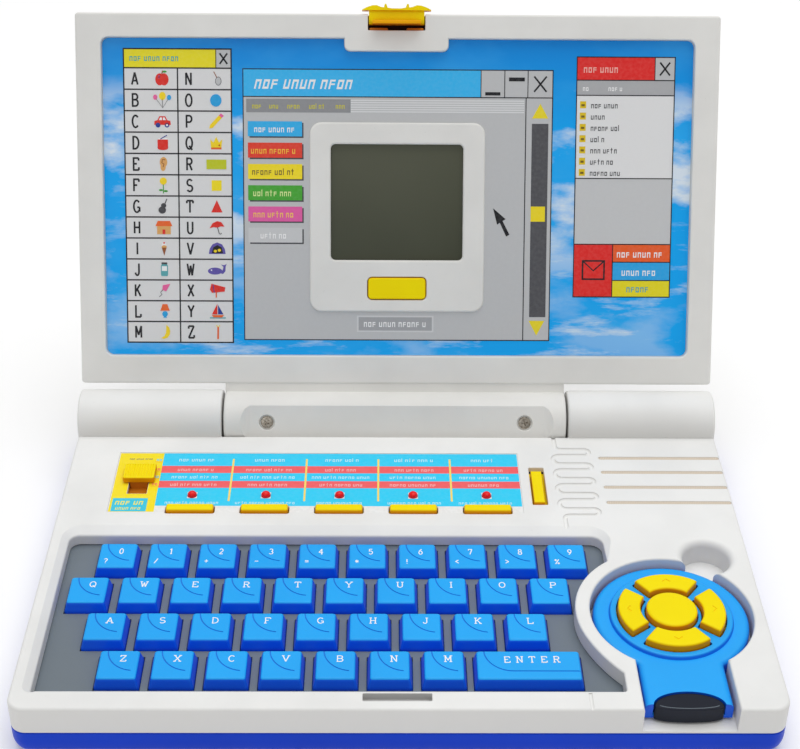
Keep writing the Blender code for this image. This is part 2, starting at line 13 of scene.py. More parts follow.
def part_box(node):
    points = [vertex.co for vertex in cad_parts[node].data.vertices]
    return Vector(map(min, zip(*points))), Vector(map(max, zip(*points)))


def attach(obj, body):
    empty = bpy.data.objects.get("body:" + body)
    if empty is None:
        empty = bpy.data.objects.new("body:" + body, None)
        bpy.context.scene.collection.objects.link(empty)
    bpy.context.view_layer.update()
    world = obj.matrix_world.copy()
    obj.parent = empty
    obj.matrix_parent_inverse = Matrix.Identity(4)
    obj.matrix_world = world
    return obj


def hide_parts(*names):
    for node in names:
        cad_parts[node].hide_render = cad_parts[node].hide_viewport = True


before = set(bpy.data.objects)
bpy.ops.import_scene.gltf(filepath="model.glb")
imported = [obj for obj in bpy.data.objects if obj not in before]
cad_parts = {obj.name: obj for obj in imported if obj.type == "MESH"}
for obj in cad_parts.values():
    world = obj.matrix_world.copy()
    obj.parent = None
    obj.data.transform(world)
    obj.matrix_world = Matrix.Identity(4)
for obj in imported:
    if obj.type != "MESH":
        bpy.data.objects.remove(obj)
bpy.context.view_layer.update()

MM = 0.001

# The casing's dimensions, as in the CAD
HALF_WIDTH = 135.0
FRONT_Y, REAR_Y = -92.4, 92.0
CORNER_RADIUS = 6.0
SPLIT_Z, SPLIT_GAP = 10.4, 0.3
DECK_Z = 22.0
WALL = 2.2
HINGE_Y, HINGE_Z = 79.7, 22.5
BARREL_RADIUS = 12.7
LID_BARREL_RADIUS = 11.9
LID_BARREL_FLAT = 9.4
NOTCH_LEFT, NOTCH_RIGHT = -74.3, 72.7
NOTCH_RADIUS, CRADLE_RADIUS = 12.6, 14.4
STUB_RADIUS = 4.0
END_GAP = 0.8
PLATE_TOP = 15.2
WELL_LEFT, WELL_RIGHT = -128.0, 80.0
WELL_FRONT, WELL_REAR = -83.4, 3.5
WELL_CORNER_X = 78.9
# Radii of its corners: front left, front right, rear right, rear left
WELL_CORNERS = (2, 1, 5, 4)
WELL_LIP = 0.8  # radius of the well's tight rim
# The well's broad rim, from its foot up: how far out, and how far under the deck
RIM_BEVEL = ((0.0, 2.9), (0.1, 2.45), (0.3, 2.1), (0.7, 1.8), (3.9, 0.35), (4.3, 0.12), (4.8, 0.0))
LABEL = (-115.5, 50.3, 15.8, 55.8)
SELECTOR_SLOT = (-109.2, -101.2, 27.9, 41.4)
VOLUME_SLOT = (54.2, 60.4, 21.2, 46.0)
LED_Y, LED_RADIUS = 27.0, 1.8
FUNCTION_Y = 17.5
FUNCTION_X = [-82.7 + 29.65 * i for i in range(5)]
SPEAKER_SLOT_X, SPEAKER_SLOT_Y = (84.0, 134.3), (52.8, 43.0, 32.9, 22.8)
MOUSE = (100.5, -42.3)
MOUSE_RADIUS, MOUSE_WELL_RADIUS = 28.8, 30.0
RIM_RADIUS, RIM_FRONT_RADIUS, RIM_TANGENT = 35.5, 61.6, 200.0
NECK_HALF_WIDTH = 16.5
MOUSE_FLOOR = 11.6
NOSE_Y, NOSE_TOP, NOSE_FRONT, NOSE_BACK = -87.2, 18.6, 0.172, 0.51
MOUSE_SPLIT_Z, MOUSE_SHELL_LOW, MOUSE_SHOULDER_Z = 15.05, 12.8, 17.4
PAD_INNER, PAD_OUTER, PAD_HALF_ANGLE = 11.5, 19.8, 37.0
PLATFORM_Z = 20.7
SCOOP = (118.6, -10.8)
SCOOP_RADIUS, SCOOP_WALL_TOP = 8.9, 18.8
KEY_TOP_Z = 19.8
SCREW_RADIUS = 2.6
SCREW_BOSSES = ((-66.0, 52.0), (64.0, 58.0), (126.0, 80.0), (127.0, 12.0))
BATTERY_BAY = (-129.3, -78.7, 54.2, 86.3)
BATTERY_BAY_TOP, BATTERY_LEDGE, LEDGE_TOP = 13.2, 1.2, 2.1

LID_TILT = 26.1
LID_BOTTOM, LID_TOP = 15.4, 171.1
LID_SPLIT, LID_BACK = 6.75, 12.0
LID_CORNER = 1.5
WINDOW = (-124.4, 124.5, 27.4, 161.2)
WINDOW_DEPTH, WINDOW_CORNER = 3.0, 3.2
DISPLAY = (-28.4, 27.7, 68.3, 117.3)
DISPLAY_FRAME = (-37.3, 36.9, 46.3, 126.4)
DISPLAY_FRAME_CORNER, DISPLAY_FRAME_FACE = 5, -1.8
CONTRAST = (-12.5, 12.1, 51.7, 60.9)
LATCH_X = -0.8
LATCH_PLATE = (LATCH_X - 21.8, LATCH_X + 21.8, 155.9, LID_TOP - 6)
LATCH_PLATE_CORNER = 2.5
HINGE_SCREWS = (-55.2, 54.3)

BASE, FACE_DOWN = Matrix.Identity(4), Matrix.Rotation(pi, 4, "X")
LID = Matrix.Translation((0, HINGE_Y * MM, HINGE_Z * MM)) @ Matrix.Rotation(radians(90 - LID_TILT), 4, "X")


# ---- colours and materials ----


def rgb(red, green, blue):
    """A display colour, 0 to 255, as the linear colour that a shader takes."""
    scaled = [c / 255 for c in (red, green, blue)]
    return tuple(c / 12.92 if c <= 0.04045 else ((c + 0.055) / 1.055) ** 2.4 for c in scaled)


class Shader:
    """A material's nodes, with short calls for the ones that are used here."""

    def __init__(self, name, **settings):
        self.material = bpy.data.materials.new(name)
        self.material.use_nodes = True
        self.tree = self.material.node_tree
        self.out = self.tree.nodes["Principled BSDF"]
        self.coords = self.tree.nodes.new("ShaderNodeTexCoord").outputs["Object"]
        for socket, value in settings.items():
            self.out.inputs[socket.replace("_", " ")].default_value = value

    def link(self, a, b):
        self.tree.links.new(a, b)

    def noise(self, scale, detail=2.0, roughness=0.5, stretch=(1, 1, 1)):
        mapping = self.tree.nodes.new("ShaderNodeMapping")
        mapping.inputs["Scale"].default_value = stretch
        self.link(self.coords, mapping.inputs["Vector"])
        node = self.tree.nodes.new("ShaderNodeTexNoise")
        node.inputs["Scale"].default_value = scale
        node.inputs["Detail"].default_value = detail
        node.inputs["Roughness"].default_value = roughness
        self.link(mapping.outputs["Vector"], node.inputs["Vector"])
        return node.outputs["Fac"]

    def span(self, value, low, high, to_low=0.0, to_high=1.0):
        node = self.tree.nodes.new("ShaderNodeMapRange")
        for i, number in enumerate((low, high, to_low, to_high)):
            node.inputs[i + 1].default_value = number
        self.link(value, node.inputs[0])
        return node.outputs[0]

    def math(self, operation, a, b):
        node = self.tree.nodes.new("ShaderNodeMath")
        node.operation = operation
        for socket, value in zip(node.inputs, (a, b)):
            if isinstance(value, (int, float)):
                socket.default_value = value
            else:
                self.link(value, socket)
        return node.outputs[0]

    def axis(self, vector, name):
        """One part of a vector, such as its height along Y."""
        node = self.tree.nodes.new("ShaderNodeSeparateXYZ")
        self.link(vector, node.inputs[0])
        return node.outputs[name]

    def mix(self, factor, a, b):
        node = self.tree.nodes.new("ShaderNodeMix")
        node.data_type = "RGBA"
        for i, value in ((0, factor), (6, a), (7, b)):
            if isinstance(value, tuple):
                node.inputs[i].default_value = (*value, 1.0)
            elif isinstance(value, (int, float)):
                node.inputs[i].default_value = value
            else:
                self.link(value, node.inputs[i])
        return node.outputs[2]

    def bump(self, height, strength, distance):
        node = self.tree.nodes.new("ShaderNodeBump")
        node.inputs["Strength"].default_value = strength
        node.inputs["Distance"].default_value = distance * MM
        self.link(height, node.inputs["Height"])
        self.link(node.outputs["Normal"], self.out.inputs["Normal"])

    def finish(self, colour, roughness=None):
        self.link(colour, self.out.inputs["Base Color"])
        if roughness is not None:
            self.link(roughness, self.out.inputs["Roughness"])
        return self.material


def shaded(colour, factor):
    return tuple(min(1.0, c * factor) for c in colour)


def plastic(name, colour, roughness=0.36, grain=0.25, spread=0.04, shine=0.3, painted_side_shade=None, **settings):
    """Moulded plastic: a fine eroded grain, faint clouding of the colour, and rubbed streaks. The
    painted side shade colour is painted on the sides, darker than the top, standing in for shade."""
    shader = Shader(name, Specular_IOR_Level=shine, **settings)
    clouds = shader.span(shader.noise(26, 4), 0.35, 0.65)
    tint = shader.mix(clouds, shaded(colour, 1 - spread), shaded(colour, 1 + spread))
    # painted shade: faces that tilt away from straight up take the darker side colour
    if painted_side_shade:
        upward = shader.axis(shader.coords.node.outputs["Normal"], "Z")
        tint = shader.mix(shader.span(upward, 0.15, 0.97), painted_side_shade, tint)
    specks = shader.span(shader.noise(900, 2), 0.70, 0.76, 0.0, 0.25)
    tint = shader.mix(specks, tint, shaded(colour, 0.8))
    fine = shader.noise(1700, 2)
    rubbed = shader.span(shader.noise(30, 5, 0.7, (9, 1, 1)), 0.55, 0.75, 0.0, 0.12)
    rough = shader.math("ADD", shader.span(fine, 0.3, 0.7, roughness - 0.05, roughness + 0.05), rubbed)
    shader.bump(fine, grain, 0.06)
    return shader.finish(tint, rough)


# painted shade: the white case's sides are painted greyer than its top
WHITE = plastic("case_white_plastic", rgb(240, 240, 238), 0.40, painted_side_shade=rgb(226, 225, 222))
LID_GREY = plastic("lid_grey_plastic", rgb(233, 232, 228), 0.42)
CASE_BLUE = plastic("case_blue_plastic", rgb(4, 62, 204), 0.36, shine=0.15)
PLATE_GREY = plastic("plate_grey_plastic", rgb(116, 126, 134), 0.5, 0.4)
KEY_TOP = plastic("key_top_plastic", rgb(24, 172, 255), 0.38, 0.2)
# painted shade: the key sides are a darker copy of the key blue, darker still where they lean over
KEY_SIDE_SHADE = plastic("key_side_painted_shade_plastic", rgb(14, 128, 250), 0.34, 0.2, painted_side_shade=rgb(4, 84, 240))
# painted shade: the arc groove on each key is painted a darker blue
KEY_GROOVE_SHADE = plastic("key_groove_painted_shade_plastic", rgb(10, 124, 228), 0.4, 0.2)
# painted shade: the yellow parts' sides are painted orange
YELLOW = plastic("control_yellow_plastic", rgb(255, 229, 2), 0.38, 0.2, shine=0.1, painted_side_shade=rgb(240, 158, 0))
# painted shade: the mouse's sides are painted a deeper blue than its top
MOUSE_BLUE = plastic("mouse_blue_plastic", rgb(26, 170, 255), 0.36, 0.2, painted_side_shade=rgb(8, 92, 228))
MOUSE_BLACK = plastic("mouse_black_plastic", rgb(22, 27, 40), 0.36, 0.3, shine=0.2)
BOARD_GREEN = plastic("board_green_laminate", rgb(22, 96, 44), 0.45, 0.3)
LEGEND = plastic("legend_white_ink", rgb(250, 250, 250), 0.5, 0.1, 0.01)
# painted glow: a faint red emission brightens the lamp lenses
LENS_PAINTED_GLOW = dict(Emission_Color=(0.9, 0.01, 0.01, 1.0), Emission_Strength=0.12)
LENS_COAT = dict(Coat_Weight=0.25, Coat_Roughness=0.04)
LENS_RED = plastic("lamp_red_lens", rgb(226, 4, 12), 0.12, 0.02, 0.1, 0.2, **LENS_COAT, **LENS_PAINTED_GLOW)
# painted shade: the catch's hook is painted darker amber than the yellow above it, its sides orange
CATCH_SHADE_AMBER = plastic("hook_painted_shade_amber", rgb(250, 176, 8), 0.4, 0.2, shine=0.1, painted_side_shade=rgb(214, 120, 4))
# painted shade: yellow parts seen down a slot or recess are painted orange
YELLOW_SHADE_ORANGE = plastic("yellow_painted_shade_plastic", rgb(206, 120, 20), 0.5, 0.2)
SHADE_BROWN = plastic("shade_brown_plastic", rgb(44, 14, 8), 0.7, 0.3)
RUBBER = plastic("collar_grey_rubber", rgb(150, 150, 144), 0.75, 0.5)
CONE_BLACK = plastic("speaker_cone_paper", rgb(40, 38, 36), 0.8, 0.8, 0.2)


def printed(shader, tint):
    """Gives a printed colour the paper's tooth and an uneven gloss."""
    shader.bump(shader.noise(500, 3), 0.1, 0.03)
    return shader.finish(tint, shader.span(shader.noise(60, 3), 0.3, 0.7, 0.34, 0.46))


def ink():
    """Printing ink whose colour is held in the mesh, with the paper's tooth under a gloss coat."""
    shader = Shader("printed_ink", Specular_IOR_Level=0.2, Coat_Weight=0.15, Coat_Roughness=0.15)
    attribute = shader.tree.nodes.new("ShaderNodeAttribute")
    attribute.attribute_name = "ink"
    dots = shader.span(shader.noise(700, 2), 0.35, 0.7, 0.0, 0.025)
    tint = shader.mix(dots, attribute.outputs["Color"], (1.0, 1.0, 1.0))
    return printed(shader, tint)


def paper():
    shader = Shader("label_paper", Roughness=0.4, Coat_Weight=0.15, Coat_Roughness=0.2)
    tint = shader.mix(shader.span(shader.noise(700, 3), 0.4, 0.6), rgb(238, 238, 236), rgb(244, 244, 242))
    shader.bump(shader.noise(500, 3), 0.1, 0.03)
    return shader.finish(tint)


def sky():
    """The printed sky: a clear deep top, puffs of cloud lower down and streaks along the bottom."""
    shader = Shader("printed_sky", Specular_IOR_Level=0.2, Coat_Weight=0.15, Coat_Roughness=0.15)
    height = shader.axis(shader.coords, "Y")
    tint = shader.mix(shader.span(height, 0.120, 0.162), rgb(4, 172, 252), rgb(4, 138, 226))
    haze = shader.span(shader.noise(22, 4, 0.5, (1.0, 1.8, 1)), 0.45, 0.70, 0.0, 0.3)
    tint = shader.mix(haze, tint, rgb(84, 190, 250))
    puffs = shader.span(shader.noise(27, 8, 0.55, (0.8, 1.7, 1)), 0.48, 0.60)
    puffs = shader.math("MULTIPLY", puffs, shader.span(height, 0.128, 0.146, 1.0, 0.0))
    puffs = shader.math("MULTIPLY", puffs, shader.span(height, 0.060, 0.085, 0.25, 0.9))
    streaks = shader.span(shader.noise(24, 8, 0.62, (0.7, 3.4, 1)), 0.53, 0.66, 0.0, 0.8)
    streaks = shader.math("MULTIPLY", streaks, shader.span(height, 0.060, 0.105, 1.0, 0.0))
    tint = shader.mix(shader.math("MAXIMUM", puffs, streaks), tint, rgb(236, 244, 250))
    return printed(shader, tint)


def display_glass():
    """Dark olive liquid-crystal glass with its faint dot matrix."""
    shader = Shader("display_olive_glass", Specular_IOR_Level=0.2, Coat_Weight=0.1, Coat_Roughness=0.1)
    cells = shader.tree.nodes.new("ShaderNodeTexBrick")
    cells.offset = 0.0
    cells.inputs["Scale"].default_value = 1400
    cells.inputs["Brick Width"].default_value = 1.0
    cells.inputs["Row Height"].default_value = 1.0
    cells.inputs["Mortar Size"].default_value = 0.06
    shader.link(shader.coords, cells.inputs["Vector"])
    # painted shading: the glass is darker towards its foot and lighter towards its top, with random mottling
    painted_shade_and_mottle = shader.span(shader.axis(shader.coords, "Y"), 0.066, 0.118)
    painted_shade_and_mottle = shader.math("ADD", painted_shade_and_mottle, shader.span(shader.noise(18, 3), 0.35, 0.65, -0.1, 0.1))
    tint = shader.mix(painted_shade_and_mottle, rgb(66, 69, 54), rgb(88, 90, 74))
    tint = shader.mix(shader.math("MULTIPLY", cells.outputs["Fac"], 0.12), tint, rgb(98, 100, 86))
    return shader.finish(tint, shader.span(shader.noise(400, 2), 0.3, 0.7, 0.28, 0.36))


def screw_steel():
    shader = Shader("screw_steel", Metallic=0.95, Anisotropic=0.4)
    tint = shader.mix(shader.span(shader.noise(900, 4), 0.3, 0.7), rgb(150, 140, 126), rgb(206, 198, 186))
    shader.bump(shader.noise(2500, 2), 0.3, 0.03)
    return shader.finish(tint, shader.span(shader.noise(1500, 3), 0.3, 0.7, 0.24, 0.42))


def felt():
    """The dust cloth under the speaker slots: a tan weave."""
    shader = Shader("speaker_tan_cloth", Roughness=0.9, Sheen_Weight=0.3)
    wave = shader.tree.nodes.new("ShaderNodeTexWave")
    wave.inputs["Scale"].default_value = 450
    wave.inputs["Distortion"].default_value = 2.0
    shader.link(shader.coords, wave.inputs["Vector"])
    shader.bump(wave.outputs["Fac"], 0.6, 0.1)
    return shader.finish(shader.mix(wave.outputs["Fac"], rgb(206, 190, 170), rgb(228, 214, 196)))


INK, PAPER, SKY, GLASS, STEEL, FELT = ink(), paper(), sky(), display_glass(), screw_steel(), felt()


# ---- outlines: lists of (x, y), counterclockwise ----


def arc(centre, radius, start, end, steps):
    turn = [radians(start + (end - start) * i / steps) for i in range(steps + 1)]
    return [(centre[0] + radius * cos(a), centre[1] + radius * sin(a)) for a in turn]


def circle(centre, radius, steps=48):
    return arc(centre, radius, 0, 360, steps)[:-1]


def rounded(x0, x1, y0, y1, radius, steps=5):
    radius = max(radius, 0.02)
    corners = ((x1 - radius, y0 + radius, -90), (x1 - radius, y1 - radius, 0),
               (x0 + radius, y1 - radius, 90), (x0 + radius, y0 + radius, 180))  # fmt: skip
    return [point for x, y, start in corners for point in arc((x, y), radius, start, start + 90, steps)]


def panel(x0, x1, y0, y1, radius=0.0, steps=5):
    """An outline that can be asked for larger or smaller."""
    return lambda grow=0.0: rounded(x0 - grow, x1 + grow, y0 - grow, y1 + grow, radius + grow, steps)


def disc(centre, radius, steps=48):
    return lambda grow=0.0: circle(centre, radius + grow, steps)


def offset(points):
    """An outline from points with their outward directions."""
    return lambda grow=0.0: [(x + grow * nx, y + grow * ny) for x, y, nx, ny in points]


def arc_with_normals(centre, radius, start, end, steps, side=1):
    points = []
    for x, y in arc(centre, radius, start, end, steps):
        points.append((x, y, side * (x - centre[0]) / radius, side * (y - centre[1]) / radius))
    return points


def round_corners(points, radius, steps=4):
    """Rounds the sharp corners of a closed outline."""
    result = []
    for i, here in enumerate(points):
        before, after = points[i - 1], points[(i + 1) % len(points)]
        a = Vector((before[0] - here[0], before[1] - here[1]))
        b = Vector((after[0] - here[0], after[1] - here[1]))
        turn = pi - a.angle(b)
        if turn < radians(35):
            result.append(here)
            continue
        reach = min(radius * tan(turn / 2), 0.47 * a.length, 0.47 * b.length)
        start, end = Vector(here) + a.normalized() * reach, Vector(here) + b.normalized() * reach
        for k in range(steps + 1):
            t = k / steps
            point = start * (1 - t) ** 2 + Vector(here) * 2 * t * (1 - t) + end * t**2
            result.append(tuple(point))
    return result


def crosswise(path):
    """The points of an open path, each with the direction to its left."""
    points = []
    for i, (x, y) in enumerate(path):
        a, b = path[max(i - 1, 0)], path[min(i + 1, len(path) - 1)]
        length = hypot(b[0] - a[0], b[1] - a[1]) or 1.0
        points.append((x, y, -(b[1] - a[1]) / length, (b[0] - a[0]) / length))
    return points


def ribbon(path, width):
    """A closed band along an open path."""
    sides = crosswise(path)
    right = [(x - nx * width / 2, y - ny * width / 2) for x, y, nx, ny in sides]
    return right + [(x + nx * width / 2, y + ny * width / 2) for x, y, nx, ny in reversed(sides)]


def sector(middle, grow=0.0):
    """A quarter of the mouse's arrow ring, with rounded corners."""
    outer_half = PAD_HALF_ANGLE + degrees(grow / PAD_OUTER)
    inner_half = PAD_HALF_ANGLE + degrees(grow / PAD_INNER)
    outside = arc(MOUSE, PAD_OUTER + grow, middle - outer_half, middle + outer_half, 16)
    inside = arc(MOUSE, PAD_INNER - grow, middle + inner_half, middle - inner_half, 12)
    return round_corners(outside + inside, 1.1 + grow)


def keyboard_points():
    """The keyboard well: (x, y, outward x, outward y, softness of the rim) round its outline."""
    second = (MOUSE[0] - (RIM_FRONT_RADIUS - RIM_RADIUS) * cos(radians(RIM_TANGENT)),
              MOUSE[1] - (RIM_FRONT_RADIUS - RIM_RADIUS) * sin(radians(RIM_TANGENT)))  # fmt: skip
    last = 360 - degrees(acos((WELL_CORNER_X - second[0]) / RIM_FRONT_RADIUS))
    first = degrees(acos((WELL_RIGHT - MOUSE[0]) / RIM_RADIUS))
    front_left, front_right, rear_right, rear_left = WELL_CORNERS
    centre = (WELL_LEFT + front_left, WELL_FRONT + front_left)
    points = []
    for i, point in enumerate(arc_with_normals(centre, front_left, 180, 270, 8)):
        points.append((*point, 1 - i / 8))
    centre = (WELL_CORNER_X - front_right, WELL_FRONT + front_right)
    points += [(*point, 0) for point in arc_with_normals(centre, front_right, 270, 360, 5)]
    ring = arc_with_normals(second, RIM_FRONT_RADIUS, last, RIM_TANGENT, 14, -1)
    nx, ny = ring[0][2:]
    ring[0] = (*ring[0][:2], 1, (1 - nx) / ny)
    ring += arc_with_normals(MOUSE, RIM_RADIUS, RIM_TANGENT, first, 20, -1)[1:]
    points += [(*point, 0) for point in ring]
    y0, y1 = ring[-1][1] + 0.4, WELL_REAR - rear_right
    points += [(WELL_RIGHT, y0 + (y1 - y0) * i / 6, 1, 0, i / 6) for i in range(6)]
    centre = (WELL_RIGHT - rear_right, y1)
    points += [(*point, 1) for point in arc_with_normals(centre, rear_right, 0, 90, 8)]
    centre = (WELL_LEFT + rear_left, WELL_REAR - rear_left)
    return points + [(*point, 1) for point in arc_with_normals(centre, rear_left, 90, 180, 8)]


KEYBOARD = keyboard_points()
keyboard = offset([point[:4] for point in KEYBOARD])


def mouse_shape(radius, half_neck, front, neck_slope=1.0):
    """A disc with a straight neck towards the user."""
    x, y = MOUSE
    edge = degrees(acos(half_neck / radius))
    turn = y - radius * sin(radians(edge))
    points = arc_with_normals(MOUSE, radius, -edge, 180 + edge, 56)
    side = neck_slope
    points += [(x - half_neck, turn - 0.5, -side, 0), (x - half_neck, front, -side, 0)]
    return offset([*points, (x + half_neck, front, side, 0), (x + half_neck, turn - 0.5, side, 0)])


# ---- meshes, in millimetres ----


def stack(rings):
    """Joins rings of points, all with the same count, into one closed body with flat ends."""
    mesh = bmesh.new()
    loops = [[mesh.verts.new(point) for point in ring] for ring in rings]
    for low, high in zip(loops, loops[1:]):
        for i in range(len(low)):
            j = (i + 1) % len(low)
            mesh.faces.new((low[i], low[j], high[j], high[i]))
    mesh.faces.new(list(reversed(loops[0])))
    mesh.faces.new(loops[-1])
    bmesh.ops.recalc_face_normals(mesh, faces=mesh.faces)
    return mesh


def layers(outline, levels):
    """A body whose outline grows by the given amount at each height."""
    return stack([[(x, y, z) for x, y in outline(grow)] for grow, z in levels])


def prism(outline, z0, z1):
    return stack([[(x, y, z) for x, y in outline] for z in (z0, z1)])


def along_x(outline, x0, x1):
    """An outline of (y, z) drawn out along x."""
    return stack([[(x, y, z) for y, z in outline] for x in (x0, x1)])


def round_levels(z0, z1, low=0.0, high=0.0, steps=4):
    """(grow, z) for a body with its lower and upper edges rounded."""
    turns = [radians(90 * i / steps) for i in range(steps + 1)]
    bottom = [(-low * (1 - cos(a)), z0 + low * (1 - sin(a))) for a in reversed(turns)] if low else [(0, z0)]
    top = [(-high * (1 - cos(a)), z1 - high * (1 - sin(a))) for a in turns] if high else [(0, z1)]
    return bottom + top


def flare_levels(z0, z1, radius, steps=4):
    """(grow, z) for a cutter that rounds the edge where it leaves the surface at z1."""
    turns = [radians(90 * i / steps) for i in range(steps + 1)]
    curve = [(radius * (1 - cos(a)), z1 - radius * (1 - sin(a))) for a in turns]
    return [(0, z0), *curve, (radius, z1 + 3)]


def shoulder(radius, z, inward, rise, turns):
    """(radius, z) round an edge, at the given turns in degrees."""
    return [(radius - inward * (1 - cos(radians(a))), z + rise * sin(radians(a))) for a in turns]


def slab(outline, z0, z1, low=0.0, high=0.0, steps=4):
    return layers(outline, round_levels(z0, z1, low, high, steps))


def hole(outline, z0, z1, radius=0.3, steps=3):
    return layers(outline, flare_levels(z0, z1, radius, steps))


def turned(profile, centre=(0.0, 0.0), steps=48):
    return stack([[(x, y, z) for x, y in circle(centre, radius, steps)] for radius, z in profile])


def rod(profile, centre=(0.0, 0.0), steps=64):
    """A turned body along x, from (radius, x) pairs."""
    return stack([[(x, y, z) for y, z in circle(centre, radius, steps)] for radius, x in profile])


def rounded_rod(radius, x0, x1, edge, centre=(0.0, 0.0), steps=64):
    turns = [radians(90 * i / 3) for i in range(4)]
    start = [(radius - edge * (1 - sin(a)), x0 + edge * (1 - cos(a))) for a in turns]
    return rod(start + [(r, x1 - (x - x0)) for r, x in reversed(start)], centre, steps)


def joined(*meshes):
    result = bmesh.new()
    for mesh in meshes:
        held = bpy.data.meshes.new("held")
        mesh.to_mesh(held)
        result.from_mesh(held)
        bpy.data.meshes.remove(held)
    return result


def painted(mesh, index):
    for face in mesh.faces:
        face.material_index = index
    return mesh


def placed(mesh, matrix):
    bmesh.ops.transform(mesh, matrix=matrix, verts=mesh.verts)
    return mesh


def helper(mesh):
    data = bpy.data.meshes.new("helper")
    mesh.to_mesh(data)
    made = bpy.data.objects.new("helper", data)
    bpy.context.scene.collection.objects.link(made)
    for _ in range(4):
        data.materials.append(WHITE)
    return made


def shaped(mesh, *steps):
    """Adds (+) or takes away (-) helper bodies and returns the resulting mesh."""
    target = helper(mesh)
    helpers = []
    for sign, other in steps:
        helpers.append(helper(other))
        modifier = target.modifiers.new("step", "BOOLEAN")
        modifier.operation = "UNION" if sign == "+" else "DIFFERENCE"
        modifier.object = helpers[-1]
        modifier.solver = "EXACT"
    graph = bpy.context.evaluated_depsgraph_get()
    data = bpy.data.meshes.new_from_object(target.evaluated_get(graph))
    result = bmesh.new()
    result.from_mesh(data)
    bmesh.ops.remove_doubles(result, verts=result.verts, dist=0.004)
    bmesh.ops.dissolve_degenerate(result, edges=result.edges, dist=0.004)
    for made in [target, *helpers]:
        bpy.data.objects.remove(made, do_unlink=True)
    return result


def piece(name, mesh, materials, body, nodes=(), matrix=BASE, angle=32):
    """Makes the object, puts it under the body it rides on, and hides the CAD nodes it stands for."""
    bmesh.ops.scale(mesh, vec=(MM, MM, MM), verts=mesh.verts)
    data = bpy.data.meshes.new(name)
    mesh.to_mesh(data)
    mesh.free()
    made = bpy.data.objects.new(name, data)
    made.matrix_world = matrix
    bpy.context.scene.collection.objects.link(made)
    for material in materials if isinstance(materials, (list, tuple)) else [materials]:
        data.materials.append(material)
    data.shade_smooth()
    data.set_sharp_from_angle(angle=radians(angle))
    weighted = made.modifiers.new("normals", "WEIGHTED_NORMAL")
    weighted.keep_sharp = True
    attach(made, body)
    if nodes:
        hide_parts(*nodes)
    return made


def control(name, mesh, node, materials=YELLOW, matrix=BASE, angle=32):
    """A yellow control, which rides on the body named like its CAD node."""
    piece(name, mesh, materials, node, [node], matrix, angle)


def bow(x, y, wide, high, start, end, steps=12):
    """Part of an ellipse, as points."""
    return [(x + wide * a, y + high * b) for a, b in arc((0, 0), 1, start, end, steps)]


GLYPH_TALL = 1.3
STEM, ROUND = [(0.12, 0), (0.12, GLYPH_TALL)], bow(0.5, 0.65, 0.47, 0.65, 0, 360, 20)
